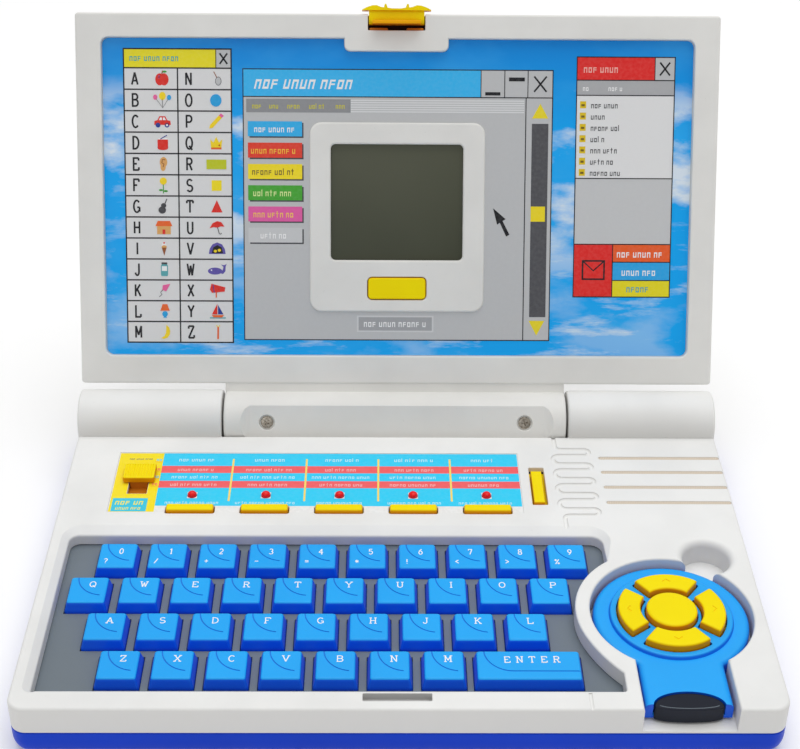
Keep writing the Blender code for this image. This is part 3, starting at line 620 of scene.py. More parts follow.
# Each letter's strokes in a cell 1 wide and 1.3 tall, then where serifs sit at its foot and head.
GLYPHS = {
    "A": ([[(0.05, 0), (0.5, 1.3), (0.95, 0)], [(0.22, 0.42), (0.78, 0.42)]], (0.05, 0.95), ()),
    "B": ([STEM, [(0, 1.3), *bow(0.55, 0.99, 0.33, 0.31, 90, -90), (0.12, 0.68)],
          [*bow(0.55, 0.34, 0.4, 0.34, 90, -90), (0, 0)]], (), ()),
    "C": ([bow(0.52, 0.65, 0.47, 0.65, 42, 318, 16)], (), ()),
    "D": ([STEM, [(0, 1.3), *bow(0.4, 0.65, 0.55, 0.65, 90, -90), (0, 0)]], (), ()),
    "E": ([STEM, [(0, 1.3), (0.9, 1.3), (0.9, 1.02)], [(0.12, 0.68), (0.62, 0.68)], [(0, 0), (0.94, 0),
          (0.94, 0.3)]], (), ()),
    "F": ([STEM, [(0, 1.3), (0.9, 1.3), (0.9, 1.02)], [(0.12, 0.66), (0.62, 0.66)]], (0.12,), ()),
    "G": ([bow(0.52, 0.65, 0.47, 0.65, 42, 325, 16), [(0.58, 0.55), (0.95, 0.55), (0.95, 0.08)]], (), ()),
    "H": ([STEM, [(0.88, 0), (0.88, 1.3)], [(0.12, 0.66), (0.88, 0.66)]], (0.12, 0.88), (0.12, 0.88)),
    "I": ([[(0.5, 0), (0.5, 1.3)]], (0.5,), (0.5,)),
    "J": ([[(0.7, 1.3), *bow(0.42, 0.36, 0.28, 0.36, 0, -170)]], (), (0.7,)),
    "K": ([STEM, [(0.85, 1.3), (0.12, 0.5)], [(0.38, 0.78), (0.9, 0)]], (0.12, 0.9), (0.12, 0.85)),
    "L": ([STEM, [(0, 0), (0.9, 0), (0.9, 0.32)]], (), (0.12,)),
    "M": ([[(0.08, 0), (0.08, 1.3), (0.5, 0.3), (0.92, 1.3), (0.92, 0)]], (0.08, 0.92), (0.03, 0.97)),
    "N": ([[(0.12, 0), (0.12, 1.3), (0.88, 0), (0.88, 1.3)]], (0.12,), (0.08, 0.88)),
    "O": ([ROUND], (), ()),
    "P": ([STEM, [(0, 1.3), *bow(0.55, 0.95, 0.37, 0.35, 90, -90), (0.12, 0.6)]], (0.12,), ()),
    "Q": ([ROUND, [(0.5, 0.35), (0.95, -0.1)]], (), ()),
    "R": ([STEM, [(0, 1.3), *bow(0.52, 0.98, 0.35, 0.32, 90, -90), (0.12, 0.66)], [(0.5, 0.66), (0.88, 0)]],
          (0.12, 0.9), ()),
    "S": ([[*bow(0.5, 0.97, 0.38, 0.33, 30, 270), *bow(0.5, 0.33, 0.42, 0.33, 80, -150)]], (), ()),
    "T": ([[(0.5, 0), (0.5, 1.3)], [(0.02, 1.02), (0.02, 1.3), (0.98, 1.3), (0.98, 1.02)]], (0.5,), ()),
    "U": ([[(0.12, 1.3), *bow(0.5, 0.38, 0.38, 0.38, 180, 360), (0.88, 1.3)]], (), (0.12, 0.88)),
    "V": ([[(0.05, 1.3), (0.5, 0), (0.95, 1.3)]], (), (0.05, 0.95)),
    "W": ([[(0, 1.3), (0.27, 0), (0.5, 1.1), (0.73, 0), (1, 1.3)]], (), (0.02, 0.98)),
    "X": ([[(0.08, 1.3), (0.92, 0)], [(0.92, 1.3), (0.08, 0)]], (0.08, 0.92), (0.08, 0.92)),
    "Y": ([[(0.05, 1.3), (0.5, 0.65), (0.95, 1.3)], [(0.5, 0.65), (0.5, 0)]], (0.5,), (0.05, 0.95)),
    "Z": ([[(0.08, 1.02), (0.08, 1.3), (0.9, 1.3), (0.08, 0), (0.94, 0), (0.94, 0.3)]], (), ()),
    "0": ([bow(0.5, 0.65, 0.38, 0.65, 0, 360, 20)], (), ()),
    "1": ([[(0.2, 1.05), (0.5, 1.3), (0.5, 0)]], (0.5,), ()),
    "2": ([[*bow(0.5, 0.93, 0.36, 0.37, 160, -30), (0.12, 0), (0.9, 0)]], (), ()),
    "3": ([bow(0.48, 0.98, 0.34, 0.32, 150, -80), bow(0.48, 0.35, 0.4, 0.36, 85, -150)], (), ()),
    "4": ([[(0.68, 0), (0.68, 1.3), (0.06, 0.42), (0.96, 0.42)]], (0.68,), ()),
    "5": ([[(0.85, 1.3), (0.2, 1.3), (0.16, 0.72)], bow(0.48, 0.42, 0.4, 0.42, 130, -145)], (), ()),
    "6": ([[(0.74, 1.3), (0.3, 0.9), (0.14, 0.5)], bow(0.5, 0.4, 0.37, 0.4, 0, 360, 16)], (), ()),
    "7": ([[(0.1, 1.02), (0.1, 1.3), (0.9, 1.3), (0.4, 0)]], (), ()),
    "8": ([bow(0.5, 0.98, 0.31, 0.32, 0, 360, 16), bow(0.5, 0.34, 0.38, 0.35, 0, 360, 16)], (), ()),
    "9": ([bow(0.5, 0.9, 0.37, 0.4, 0, 360, 16), [(0.86, 0.8), (0.7, 0.4), (0.28, 0)]], (), ()),
    "?": ([[*bow(0.5, 0.98, 0.3, 0.32, 170, -60), (0.5, 0.5), (0.5, 0.35)], [(0.5, 0.14), (0.5, 0)]], (), ()),
    "+": ([[(0.1, 0.65), (0.9, 0.65)], [(0.5, 0.25), (0.5, 1.05)]], (), ()),
    "-": ([[(0.1, 0.65), (0.9, 0.65)]], (), ()),
    "=": ([[(0.1, 0.8), (0.9, 0.8)], [(0.1, 0.45), (0.9, 0.45)]], (), ()),
    "/": ([[(0.15, 0), (0.85, 1.3)]], (), ()),
    "*": ([[(0.5, 0.25), (0.5, 1.05)], [(0.16, 0.45), (0.84, 0.85)], [(0.16, 0.85), (0.84, 0.45)]], (), ()),
    "!": ([[(0.5, 0.42), (0.5, 1.3)], [(0.5, 0.14), (0.5, 0)]], (), ()),
    "<": ([[(0.85, 1.1), (0.15, 0.65), (0.85, 0.2)]], (), ()),
    ">": ([[(0.15, 1.1), (0.85, 0.65), (0.15, 0.2)]], (), ()),
    "%": ([[(0.1, 0), (0.9, 1.3)], bow(0.2, 1.1, 0.14, 0.16, 0, 360), bow(0.8, 0.2, 0.14, 0.16, 0, 360)], (),
          ()),
}  # fmt: skip


def split(path):
    """Breaks a path where it turns sharply, so that each part can be drawn as a clean band."""
    parts, start = [], 0
    for i in range(1, len(path) - 1):
        a = atan2(path[i][1] - path[i - 1][1], path[i][0] - path[i - 1][0])
        b = atan2(path[i + 1][1] - path[i][1], path[i + 1][0] - path[i][0])
        if abs((b - a + pi) % (2 * pi) - pi) > radians(40):
            parts.append(path[start : i + 1])
            start = i
    return [*parts, path[start:]]


def strokes(text, x, y, wide, tall, serif=True, pitch=1.6):
    """The paths of a line of letters centred on (x, y)."""
    paths = []
    for i, char in enumerate(text):
        left = x + (i - (len(text) - 1) / 2) * pitch * wide - wide / 2
        drawn, feet, heads = GLYPHS[char]
        drawn = [part for path in drawn for part in split(path)]
        if serif:
            drawn += [[(f - 0.2, 0), (f + 0.2, 0)] for f in feet]
            drawn += [[(h - 0.2, GLYPH_TALL), (h + 0.2, GLYPH_TALL)] for h in heads]
        for path in drawn:
            paths.append([(left + px * wide, y + (py / GLYPH_TALL - 0.5) * tall) for px, py in path])
    return paths


# Small marks built from bars, each in a cell 1 wide: left, right, bottom, top.
MARKS = (
    ((0.08, 0.28, 0, 0.7), (0.28, 0.6, 0.54, 0.7), (0.6, 0.8, 0, 0.7)),
    ((0.08, 0.28, 0, 1.0),),
    ((0.08, 0.8, 0, 0.16), (0.08, 0.28, 0.16, 0.54), (0.08, 0.8, 0.54, 0.7), (0.6, 0.8, 0.16, 0.54)),
    ((0.08, 0.28, 0.16, 0.7), (0.08, 0.6, 0, 0.16), (0.6, 0.8, 0, 0.7)),
    ((0.08, 0.28, 0, 0.7), (0.28, 0.75, 0.3, 0.42), (0.28, 0.75, 0.56, 0.7)),
    ((0.3, 0.5, 0, 0.95), (0.1, 0.7, 0.56, 0.7)),
)


class Print:
    """Flat printed shapes: thin closed prisms, each with its own ink colour, in one mesh."""

    STEP = 0.03

    def __init__(self, height):
        self.mesh = bmesh.new()
        self.ink = self.mesh.verts.layers.float_color.new("ink")
        self.height = height

    def shape(self, outline, colour, level=1):
        rings = []
        for z in (self.height - self.STEP, self.height + self.STEP * level):
            rings.append([self.mesh.verts.new((x, y, z)) for x, y in outline])
            for vertex in rings[-1]:
                vertex[self.ink] = (*colour, 1.0)
        count = len(outline)
        for i in range(count):
            j = (i + 1) % count
            self.mesh.faces.new((rings[0][i], rings[0][j], rings[1][j], rings[1][i]))
        self.mesh.faces.new(list(reversed(rings[0])))
        self.mesh.faces.new(rings[1])

    def box(self, x0, x1, y0, y1, colour, level=1):
        self.shape([(x0, y0), (x1, y0), (x1, y1), (x0, y1)], colour, level)

    def disc(self, x, y, wide, high, colour, level=1, steps=20):
        self.shape([(x + wide * a, y + high * b) for a, b in circle((0, 0), 1, steps)], colour, level)

    def line(self, path, width, colour, level=1):
        self.shape(ribbon(path, width), colour, level)

    def frame(self, x0, x1, y0, y1, width, colour, level=1):
        w = width / 2
        for x in (x0, x1):
            self.box(x - w, x + w, y0 - w, y1 + w, colour, level)
        for y in (y0, y1):
            self.box(x0 + w, x1 - w, y - w, y + w, colour, level)

    def words(self, left, right, base, height, colour, level=2, slant=0.0, seed=0):
        """Rows of strokes with no letter shapes, which stand for a line of small print."""
        unit, x, number = 0.62 * height, left, seed
        while x + unit < right:
            for k in range(3 + (number * 5) % 4):
                if x + unit > right:
                    break
                for x0, x1, y0, y1 in MARKS[(number * number * 3 + k * (k * k + number + 1)) % len(MARKS)]:
                    outline = []
                    for px, py in ((x0, y0), (x1, y0), (x1, y1), (x0, y1)):
                        outline.append((x + unit * px + slant * height * py, base + height * py))
                    self.shape(outline, colour, level)
                x += unit
            x += 0.5 * unit
            number += 1

    def letter(self, text, x, y, wide, tall, width, colour, level=3):
        for i, path in enumerate(strokes(text, x, y, wide, tall, False)):
            self.line(path, width, colour, level + 0.15 * i)

    def done(self):
        bmesh.ops.recalc_face_normals(self.mesh, faces=self.mesh.faces)
        return self.mesh


# ---- base ----


def base_top_case():
    axis = (HINGE_Y, HINGE_Z)
    body = slab(panel(-HALF_WIDTH, HALF_WIDTH, FRONT_Y, REAR_Y, CORNER_RADIUS, 10),
                SPLIT_Z + SPLIT_GAP / 2, DECK_Z, 0.3, 1.2)  # fmt: skip
    ends = ((-HALF_WIDTH, NOTCH_LEFT), (NOTCH_RIGHT, HALF_WIDTH))
    steps = [("+", rounded_rod(BARREL_RADIUS, x0, x1, 1.0, axis)) for x0, x1 in ends]
    inside = rounded(WALL - HALF_WIDTH, HALF_WIDTH - WALL, FRONT_Y + WALL, REAR_Y - WALL, 4)
    steps.append(("-", prism(inside, SPLIT_Z - 3, DECK_Z - WALL)))
    bore = BARREL_RADIUS - WALL
    steps += [("-", rod(((bore, x0 + WALL), (bore, x1 - WALL)), axis)) for x0, x1 in ends]
    lip_z = HINGE_Z - CRADLE_RADIUS * cos(radians(30)) + 1.6
    outer = arc(axis, CRADLE_RADIUS, 187, 300, 28)
    outer += [(REAR_Y - 0.1, lip_z - 1.7), (REAR_Y - 0.1, DECK_Z - 0.5)]
    outer += [(HINGE_Y - CRADLE_RADIUS * cos(radians(7)), DECK_Z - 0.5)]
    steps.append(("+", along_x(outer, NOTCH_LEFT - WALL, NOTCH_RIGHT + WALL)))
    inner = arc(axis, NOTCH_RADIUS, 180, 298, 30) + [(REAR_Y + 3, lip_z + 0.2)]
    inner += [(REAR_Y + 3, HINGE_Z + 20), (HINGE_Y - NOTCH_RADIUS, HINGE_Z + 20)]
    steps.append(("-", along_x(inner, NOTCH_LEFT, NOTCH_RIGHT)))
    stub = STUB_RADIUS + 0.4
    steps.append(("-", rod(((stub, NOTCH_LEFT - 4), (stub, NOTCH_LEFT + 1)), axis, 32)))
    steps.append(("-", rod(((stub, NOTCH_RIGHT - 1), (stub, NOTCH_RIGHT + 4)), axis, 32)))
    steps += well_steps() + deck_steps()
    piece("case_top", shaped(body, *steps), WHITE, "base", ["base_top_case"])


def keyboard_cutter():
    """The keyboard well with its rim: a broad bevel on three sides, tight at the front and mouse."""
    low = PLATE_TOP - 1.6
    rings = [[(x, y, low) for x, y in keyboard()]]
    for i, (wide, deep) in enumerate(RIM_BEVEL):
        turn = radians(90 * i / (len(RIM_BEVEL) - 1))
        out, down = WELL_LIP * (1 - cos(turn)), WELL_LIP * (1 - sin(turn))
        ring = []
        for x, y, nx, ny, soft in KEYBOARD:
            grow = out * (1 - soft) + wide * (1 - 0.35 * abs(nx)) * soft
            ring.append((x + grow * nx, y + grow * ny, DECK_Z - down * (1 - soft) - deep * soft))
        rings.append(ring)
    rings.append([(x, y, DECK_Z + 3) for x, y, _ in rings[-1]])
    return stack(rings)


def well_steps():
    x, y = MOUSE
    low, high, tub = PLATE_TOP + 0.4, DECK_Z - 1, MOUSE_FLOOR - 1.0
    neck = NECK_HALF_WIDTH + 1.8
    tub_shape = mouse_shape(MOUSE_WELL_RADIUS, NECK_HALF_WIDTH, FRONT_Y - 4)
    scoop = [(SCOOP_RADIUS - 0.1, MOUSE_FLOOR), (SCOOP_RADIUS, SCOOP_WALL_TOP)]
    scoop += shoulder(SCOOP_RADIUS, SCOOP_WALL_TOP, -3.1, DECK_Z - SCOOP_WALL_TOP, range(15, 91, 15))
    return [
        ("+", prism(keyboard(1.6), low, high)),
        ("-", keyboard_cutter()),
        ("+", turned(((MOUSE_WELL_RADIUS + 1.8, tub), (MOUSE_WELL_RADIUS + 1.8, high)), MOUSE, 96)),
        ("+", prism(rounded(x - neck, x + neck, FRONT_Y + 1, y - 20, 0.5), tub, high)),
        ("+", turned(((13.8, tub), (13.8, high)), SCOOP, 64)),
        ("-", layers(tub_shape, flare_levels(MOUSE_FLOOR, DECK_Z, 0.9))),
        ("-", turned((*scoop, (12.0, DECK_Z + 3)), SCOOP, 64)),
    ]


def wave_path():
    """The pressed line that winds down the deck beside the speaker."""
    left, right, tight, wide, first, pitch = 66.4, 78.4, 2.05, 2.97, 58.9, 10.05
    path = [(left, 68.5), (left, 62.2), *arc((left + 2.4, first + 2.4), 2.4, 190, 270, 5)]
    for k in range(5):
        top = first - pitch * k
        path += arc((right, top - tight), tight, 90, -90, 10)
        if k < 4:
            path += arc((left + wide - 1.5, top - 2 * tight - wide), wide, 90, 270, 12)
    path += arc((left + 2.0, 14.6 - 2.0), 2.0, 90, 180, 5)
    return path + [(left, 9.5), (left, 6.0)]


def tube(path, radius, z, steps=10):
    """A round bead along an open path, for cutting a rounded groove."""
    bead = [(radius * cos(t), z + radius * sin(t)) for t in (radians(360 * k / steps) for k in range(steps))]
    return stack([[(x + nx * out, y + ny * out, up) for out, up in bead] for x, y, nx, ny in crosswise(path)])


def deck_steps():
    low = DECK_Z - WALL - 1
    slots = [panel(*SPEAKER_SLOT_X, y - 0.95, y + 0.95, 0.85) for y in SPEAKER_SLOT_Y]
    holes = [hole(slot, low, DECK_Z, 0.25) for slot in slots]
    for x in FUNCTION_X:
        button = panel(x - 9.9, x + 9.9, FUNCTION_Y - 2.5, FUNCTION_Y + 2.5, 1.0)
        holes.append(hole(button, low, DECK_Z, 0.15))
    holes += [hole(disc((x, LED_Y), LED_RADIUS + 0.2, 32), low, DECK_Z, 0.1) for x in FUNCTION_X]
    holes.append(hole(panel(*SELECTOR_SLOT, 0.3), low, DECK_Z, 0.1))
    holes.append(hole(panel(*VOLUME_SLOT, 0.4), low, DECK_Z, 0.3))
    holes.append(hole(panel(LATCH_X - 12, LATCH_X + 12, -88.2, -84.6, 0.4), low, DECK_Z, 0.25))
    return [
        ("-", joined(*holes)),
        ("-", tube(wave_path(), 0.95, DECK_Z + 0.1)),
        ("-", tube([(66.0, -84.4), (66.0, -95.0)], 0.75, DECK_Z + 0.2)),
        ("-", prism(rounded(*LABEL, 0.3), DECK_Z - 0.4, DECK_Z + 1)),
    ]


def screw(name, spot, facing, body, matrix=BASE, depth=1.0):
    """A screw head with its cross recess, its top at the spot."""
    wide = SCREW_RADIUS
    head = turned(((wide, -depth), (wide, -0.35), (wide * 0.9, -0.1), (wide * 0.62, 0.0)), (0, 0), 32)
    slots = []
    for turn in (45, 135):
        blade = stack([[(-w, -t, h), (w, -t, h), (w, t, h), (-w, t, h)]
                       for w, t, h in ((wide * 0.3, 0.16, -0.8), (wide * 0.62, 0.24, 0.5))])  # fmt: skip
        slots.append(("-", placed(blade, Matrix.Rotation(radians(turn), 4, "Z"))))
    mesh = placed(shaped(head, *slots), Matrix.Translation(spot) @ facing)
    piece(name, mesh, STEEL, body, matrix=matrix)


def base_bottom_case():
    top = SPLIT_Z - SPLIT_GAP / 2
    outline = panel(-HALF_WIDTH, HALF_WIDTH, FRONT_Y, REAR_Y, CORNER_RADIUS, 10)
    turns = [radians(90 * i / 7) for i in range(8)]
    curve = [(-3.6 * (1 - sin(a)), 6.4 * (1 - cos(a))) for a in turns]
    body = layers(outline, [*curve, (0, top - 0.3), (-0.3, top)])
    inner = WALL + 0.8
    x0, x1, y0, y1 = BATTERY_BAY
    ledge = BATTERY_LEDGE
    bosses = [turned(((3.4, 1.0), (3.4, 17.5)), spot, 32) for spot in SCREW_BOSSES]
    profile = ((4.0, -1.0), (3.4, 0.5), (3.4, 4.0), (1.2, 4.01), (1.2, 19.0))
    wells = [turned(profile, spot, 32) for spot in SCREW_BOSSES]
    grooves = [tube([(x, -86.0), (x, 48.0)], 0.8, -0.35) for x in (-118.0, 118.0)]
    hollow = rounded(inner - HALF_WIDTH, HALF_WIDTH - inner, FRONT_Y + inner, REAR_Y - inner, 4)
    clear = BARREL_RADIUS + 0.4
    case = shaped(
        body,
        ("-", prism(hollow, 2.0, top + 3)),
        ("-", rod(((clear, -HALF_WIDTH - 2), (clear, HALF_WIDTH + 2)), (HINGE_Y, HINGE_Z))),
        ("-", prism(rounded(NOTCH_LEFT - 2.6, NOTCH_RIGHT + 2.6, HINGE_Y, REAR_Y + 1, 0.1), 9.6, 14)),
        ("+", prism(rounded(x0 - 1.6, x1 + 1.6, y0 - 1.6, y1 + 1.6, 1.0), 1.0, BATTERY_BAY_TOP + 1.6)),
        ("+", joined(*bosses)),
        ("-", prism(rounded(x0, x1, y0, y1, 0.5), 1.0, BATTERY_BAY_TOP)),
        ("-", prism(rounded(x0 - ledge, x1 + ledge, y0 - ledge, y1 + ledge, 1.0), -1.0, LEDGE_TOP)),
        ("-", joined(*wells)),
        ("-", joined(*grooves)),
    )
    piece("case_bottom", case, CASE_BLUE, "base", ["base_bottom_case"])
    for i, (x, y) in enumerate(SCREW_BOSSES):
        screw(f"base_screw_{i + 1}", (x, y, 2.6), FACE_DOWN, "base")


def battery_door():
    x0, x1, y0, y1 = BATTERY_BAY
    grow = BATTERY_LEDGE - 0.35
    body = slab(panel(x0 - grow, x1 + grow, y0 - grow, y1 + grow, 1.0), 0.2, 1.8, 0.3, 0.1)
    ribs = [tube([(x0 + 8, y), (x1 - 8, y)], 0.6, -0.05) for y in (60.0, 63.0, 66.0, 69.0)]
    thumb = prism(rounded(-112, -96, 79.5, 84.5, 2.4), -1.0, 0.9)
    mesh = shaped(body, ("-", joined(*ribs)), ("-", thumb))
    piece("battery_door_skin", mesh, CASE_BLUE, "battery_door", ["battery_door"])


def board_and_lamps():
    body = slab(panel(-124, 64, -80, 33, 2.0), 7.9, 9.5, 0.1, 0.1)
    chips = [prism(rounded(x - 8, x + 8, -52, -40, 0.5), 6.6, 8.0) for x in (-60.0, 10.0)]
    board = shaped(body, ("+", joined(*chips)))
    piece("circuit_board", board, BOARD_GREEN, "base", ["main_board"])
    dome = [(LED_RADIUS, 9.6), (LED_RADIUS, DECK_Z + 0.2)]
    dome += shoulder(LED_RADIUS, DECK_Z + 0.3, LED_RADIUS, 1.4, range(0, 89, 8))
    for i, x in enumerate(FUNCTION_X):
        lamp = turned(dome, (x, LED_Y), 32)
        piece(f"lamp_{i + 1}", lamp, LENS_RED, "base", ["main_board"], angle=60)


def speaker_cloth():
    mesh = slab(panel(82.6, 132.6, 20.0, 56.0, 2.0), 19.25, 19.65, 0.1, 0.1, 2)
    strips = [prism(rounded(84.1, 134.2, y - 0.92, y + 0.92, 0.8), 19.4, 21.75) for y in SPEAKER_SLOT_Y]
    piece("speaker_cloth", joined(mesh, *strips), FELT, "base")


# ---- keys and controls ----


def node_centre(node):
    low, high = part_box(node)
    middle = (low + high) / 2 / MM
    return middle.x, middle.y


SECOND_LEGENDS = dict(zip("0123456789", "?/+-=*!<>%"))


def keycap(name, legend, x, y, extra=0.0):
    """A dished key: a cap from (half width, half depth, z), its cavity, edge line and legends."""
    levels = ((8.8, 9.1, 11.9), (8.8, 9.1, 12.9), (8.0, 8.2, 12.9), (8.0, 8.2, 15.6), (7.7, 7.95, 16.4),
              (7.25, 7.45, 18.4), (7.12, 7.3, 18.9), (6.95, 7.12, 19.3), (6.7, 6.88, 19.6),
              (6.3, 6.5, KEY_TOP_Z))  # fmt: skip
    outlines = [(rounded(-w - extra, w + extra, -d, d, 0.9, 3), z) for w, d, z in levels]
    body = stack([[(px, py, z) for px, py in outline] for outline, z in outlines])
    # Faces at the top take the key blue; the faces below take the painted-shade copy of it.
    for face in body.faces:
        face.material_index = 0 if face.calc_center_median().z > 19.4 else 1
    cavity = prism(rounded(-6.6 - extra, 6.6 + extra, -6.8, 6.8, 0.5, 2), 10.0, 17.9)
    centre = (5.9 - extra, 7.0)
    path = [(centre[0] - 10.2, 9.0), *arc(centre, 10.2, 180, 264, 12)]
    if extra:
        path += [(centre[0], centre[1] - 10.2), (8.5 + extra, centre[1] - 10.2)]
    # The groove is painted a darker blue as painted shade.
    groove = prism(ribbon(path, 0.46), KEY_TOP_Z - 0.2, KEY_TOP_Z + 1.0)
    mesh = shaped(body, ("-", painted(cavity, 1)), ("-", painted(groove, 3)))
    if extra:
        marks = [(legend, 1.3, 2.5, 2.2, 2.9)]
    elif legend.isdigit():
        marks = [(legend, 1.3, 2.3, 1.7, 3.0), (SECOND_LEGENDS[legend], -4.0, -3.5, 1.7, 2.7)]
    else:
        marks = [(legend, 1.5, 2.9, 2.3, 2.9)]
    paths = [path for text, u, v, wide, tall in marks for path in strokes(text, u, v, wide, tall, True, 2.0)]
    inked = []
    for i, path in enumerate(paths):
        inked.append(prism(ribbon(path, 0.38), KEY_TOP_Z - 0.05, KEY_TOP_Z + 0.04 + 0.008 * i))
    mesh = joined(mesh, painted(joined(*inked), 2))
    placed(mesh, Matrix.Translation((x, y, 0)))
    piece(f"{name}_cap", mesh, [KEY_TOP, KEY_SIDE_SHADE, LEGEND, KEY_GROOVE_SHADE], name, [name])


def keyboard_keys():
    for name in sorted(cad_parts):
        if name.startswith("key_") and name != "key_plate":
            legend = "ENTER" if name == "key_enter" else name[-1]
            keycap(name, legend, *node_centre(name), 11.4 if legend == "ENTER" else 0.0)


def function_buttons():
    for i in range(5):
        name = f"function_button_{i + 1}"
        x, y = node_centre(name)
        flange = slab(panel(x - 10.3, x + 10.3, y - 3.1, y + 3.1, 1.0), 17.6, 19.2, 0.1, 0.1, 2)
        cap = slab(panel(x - 9.4, x + 9.4, y - 2.1, y + 2.1, 0.9), 18.0, 23.6, 0.0, 0.8, 5)
        control(f"{name}_cap", shaped(flange, ("+", cap)), name)


def sliders():
    x, y = node_centre("play_select_slider")
    plate = slab(panel(x - 5.6, x + 5.6, y - 7.4, y + 7.4, 0.8), 17.4, 19.0, 0.1, 0.1, 2)
    stem = prism(rounded(x - 3.7, x + 3.7, y - 2.0, y + 3.9, 0.3), 18.0, 23.0)
    knob = slab(panel(x - 6.4, x + 6.4, y - 2.6, y + 7.4, 0.9), 22.5, 24.9, 0.15, 0.5)
    ribs = [tube([(x + 1.05 * i, y - 1.6), (x + 1.05 * i, y + 6.4)], 0.28, 25.03) for i in range(-5, 6)]
    # The selector's plate and stem, seen down the slot, are painted orange as painted shade.
    mesh = shaped(painted(plate, 1), ("+", painted(stem, 1)), ("+", knob), ("-", joined(*ribs)))
    control("selector_knob", mesh, "play_select_slider", [YELLOW, YELLOW_SHADE_ORANGE])
    x, y = node_centre("volume_slider")
    plate = slab(panel(x - 4.6, x + 4.6, y - 13.4, y + 13.4, 0.8), 17.4, 19.2, 0.1, 0.1, 2)
    bar = slab(panel(x - 2.2, x + 2.2, y - 10.4, y + 10.4, 0.4), 18.0, 23.0, 0.0, 0.5)
    control("volume_bar", shaped(plate, ("+", bar)), "volume_slider")


def function_label():
    """The printed label with its coloured stripes, and holes for what comes up through it."""
    x0, x1, y0, y1 = LABEL
    face = DECK_Z - 0.16
    sheet = slab(panel(x0 + 0.15, x1 - 0.15, y0 + 0.15, y1 - 0.15, 0.3), DECK_Z - 0.38, face, 0.0, 0.05, 1)
    holes = [prism(rounded(x - 9.9, x + 9.9, 12.0, 20.0, 0.5, 2), 20, 24) for x in FUNCTION_X]
    holes += [prism(circle((x, LED_Y), LED_RADIUS + 0.2, 24), 20, 24) for x in FUNCTION_X]
    holes.append(prism(rounded(*SELECTOR_SLOT, 0.2, 2), 20, 24))
    mesh = shaped(sheet, ("-", joined(*holes)))
    art = Print(face)
    cyan, coral, yellow = rgb(44, 212, 252), rgb(250, 96, 100), rgb(255, 232, 10)
    pale, grey, orange = (rgb(196, 240, 250), rgb(250, 190, 190)), rgb(120, 120, 110), rgb(250, 176, 40)
    edge, end = -97.0, x1 - 0.4
    edges = (55.4, 46.7, 41.9, 36.5, 31.9, 20.1)
    for i, (high, low) in enumerate(zip(edges, edges[1:])):
        colour = (cyan, coral)[i % 2]
        if low > 25:
            art.box(edge, end, low, high, colour)
            continue
        xs = [edge, *FUNCTION_X, end]
        art.box(edge, end, 29.0, high, colour)
        art.box(edge, end, low, 25.0, colour)
        for left, right, first, last in [(a, b, a != edge, b != end) for a, b in zip(xs, xs[1:])]:
            art.box(left + 2.0 * first, right - 2.0 * last, 25.0, 29.0, colour)
    bounds = [edge, -67.8, -37.5, -7.8, 21.8, end]
    for x in bounds[1:-1]:
        art.box(x - 0.4, x + 0.4, 23.2, 51.6, rgb(255, 226, 110), 2)
    for row, (base, tall) in enumerate(((49.8, 2.4), (43.1, 2.2), (38.1, 2.2), (33.0, 2.2), (21.2, 2.0))):
        for column, (left, right) in enumerate(zip(bounds, bounds[1:])):
            inset = (6.5, 5.5, 2.4, 4.6, 2.6)[row] + 1.1 * ((row + 2 * column) % 3)
            tint = pale[row % 2 if row < 4 else 0]
            art.words(left + inset, right - inset, base, tall, tint, 2, seed=row + column)
    low, high = SELECTOR_SLOT[2] - 0.1, SELECTOR_SLOT[3] + 0.1
    left, right = SELECTOR_SLOT[0] - 0.1, SELECTOR_SLOT[1] + 0.1
    start = x0 + 0.4
    for x, y in (((start, edge), (high, 55.4)), ((start, edge), (16.2, low)),
                 ((start, left), (low, high)), ((right, edge), (low, high))):  # fmt: skip
        art.box(*x, *y, yellow)
    art.box(-114.2, -100.2, 16.4, 24.9, rgb(60, 205, 232), 2)
    art.words(-113.2, -101.2, 20.6, 3.4, rgb(255, 240, 90), 3, 0.1)
    art.words(-112.6, -101.8, 17.4, 2.2, rgb(255, 240, 90), 3, 0.1, 1)
    art.words(-111.0, -100.6, 50.8, 1.3, grey, 2)
    for base, colour in ((50.0, cyan), (43.6, coral), (38.4, cyan), (33.4, coral)):
        art.words(-99.8, -97.2, base, 2.0, colour, 2)
        art.box(-100.2, -97.2, base - 0.7, base - 0.45, orange, 2)
    mesh = joined(painted(mesh, 0), painted(art.done(), 1))
    piece("function_label", mesh, [PAPER, INK], "base")


# ---- mouse ----


def nose_outline(grow=0.0):
    """The black half-round front of the mouse, seen from above."""
    x, half = MOUSE[0], 12.2 + grow
    back = [(px, NOSE_Y + (py - NOSE_Y) * NOSE_BACK) for px, py in arc((x, NOSE_Y), half, 0, 180, 32)]
    return back + nose_front(half, 180, 360)[1:-1]


def nose_front(half, start, end, forward=0.0):
    points = arc((MOUSE[0], NOSE_Y), half, start, end, 24)
    return [(px, NOSE_Y - forward + (py - NOSE_Y) * NOSE_FRONT) for px, py in points]


def mouse_bottom():
    low, middle = MOUSE_FLOOR + 0.4, MOUSE_SPLIT_Z
    body = layers(mouse_shape(MOUSE_RADIUS - 0.6, 12.6, NOSE_Y + 1.6), round_levels(low, middle, 0.8, 0.1))
    nose = layers(nose_outline, round_levels(low + 0.6, NOSE_TOP, 0.4, 0.5))
    # painted highlight: a grey groove along the nose's top front edge stands for light caught on that rounded
    # edge
    line = nose_front(10.6, 192, 348, -0.7)
    mesh = shaped(body, ("-", turned(((25.4, low + 0.9), (25.4, middle + 1)), MOUSE, 96)), ("+", nose),
                  ("-", painted(tube(line, 0.2, NOSE_TOP + 0.02), 1)))  # fmt: skip
    piece("mouse_base", mesh, [MOUSE_BLACK, PLATE_GREY], "mouse", ["mouse_bottom_shell"])


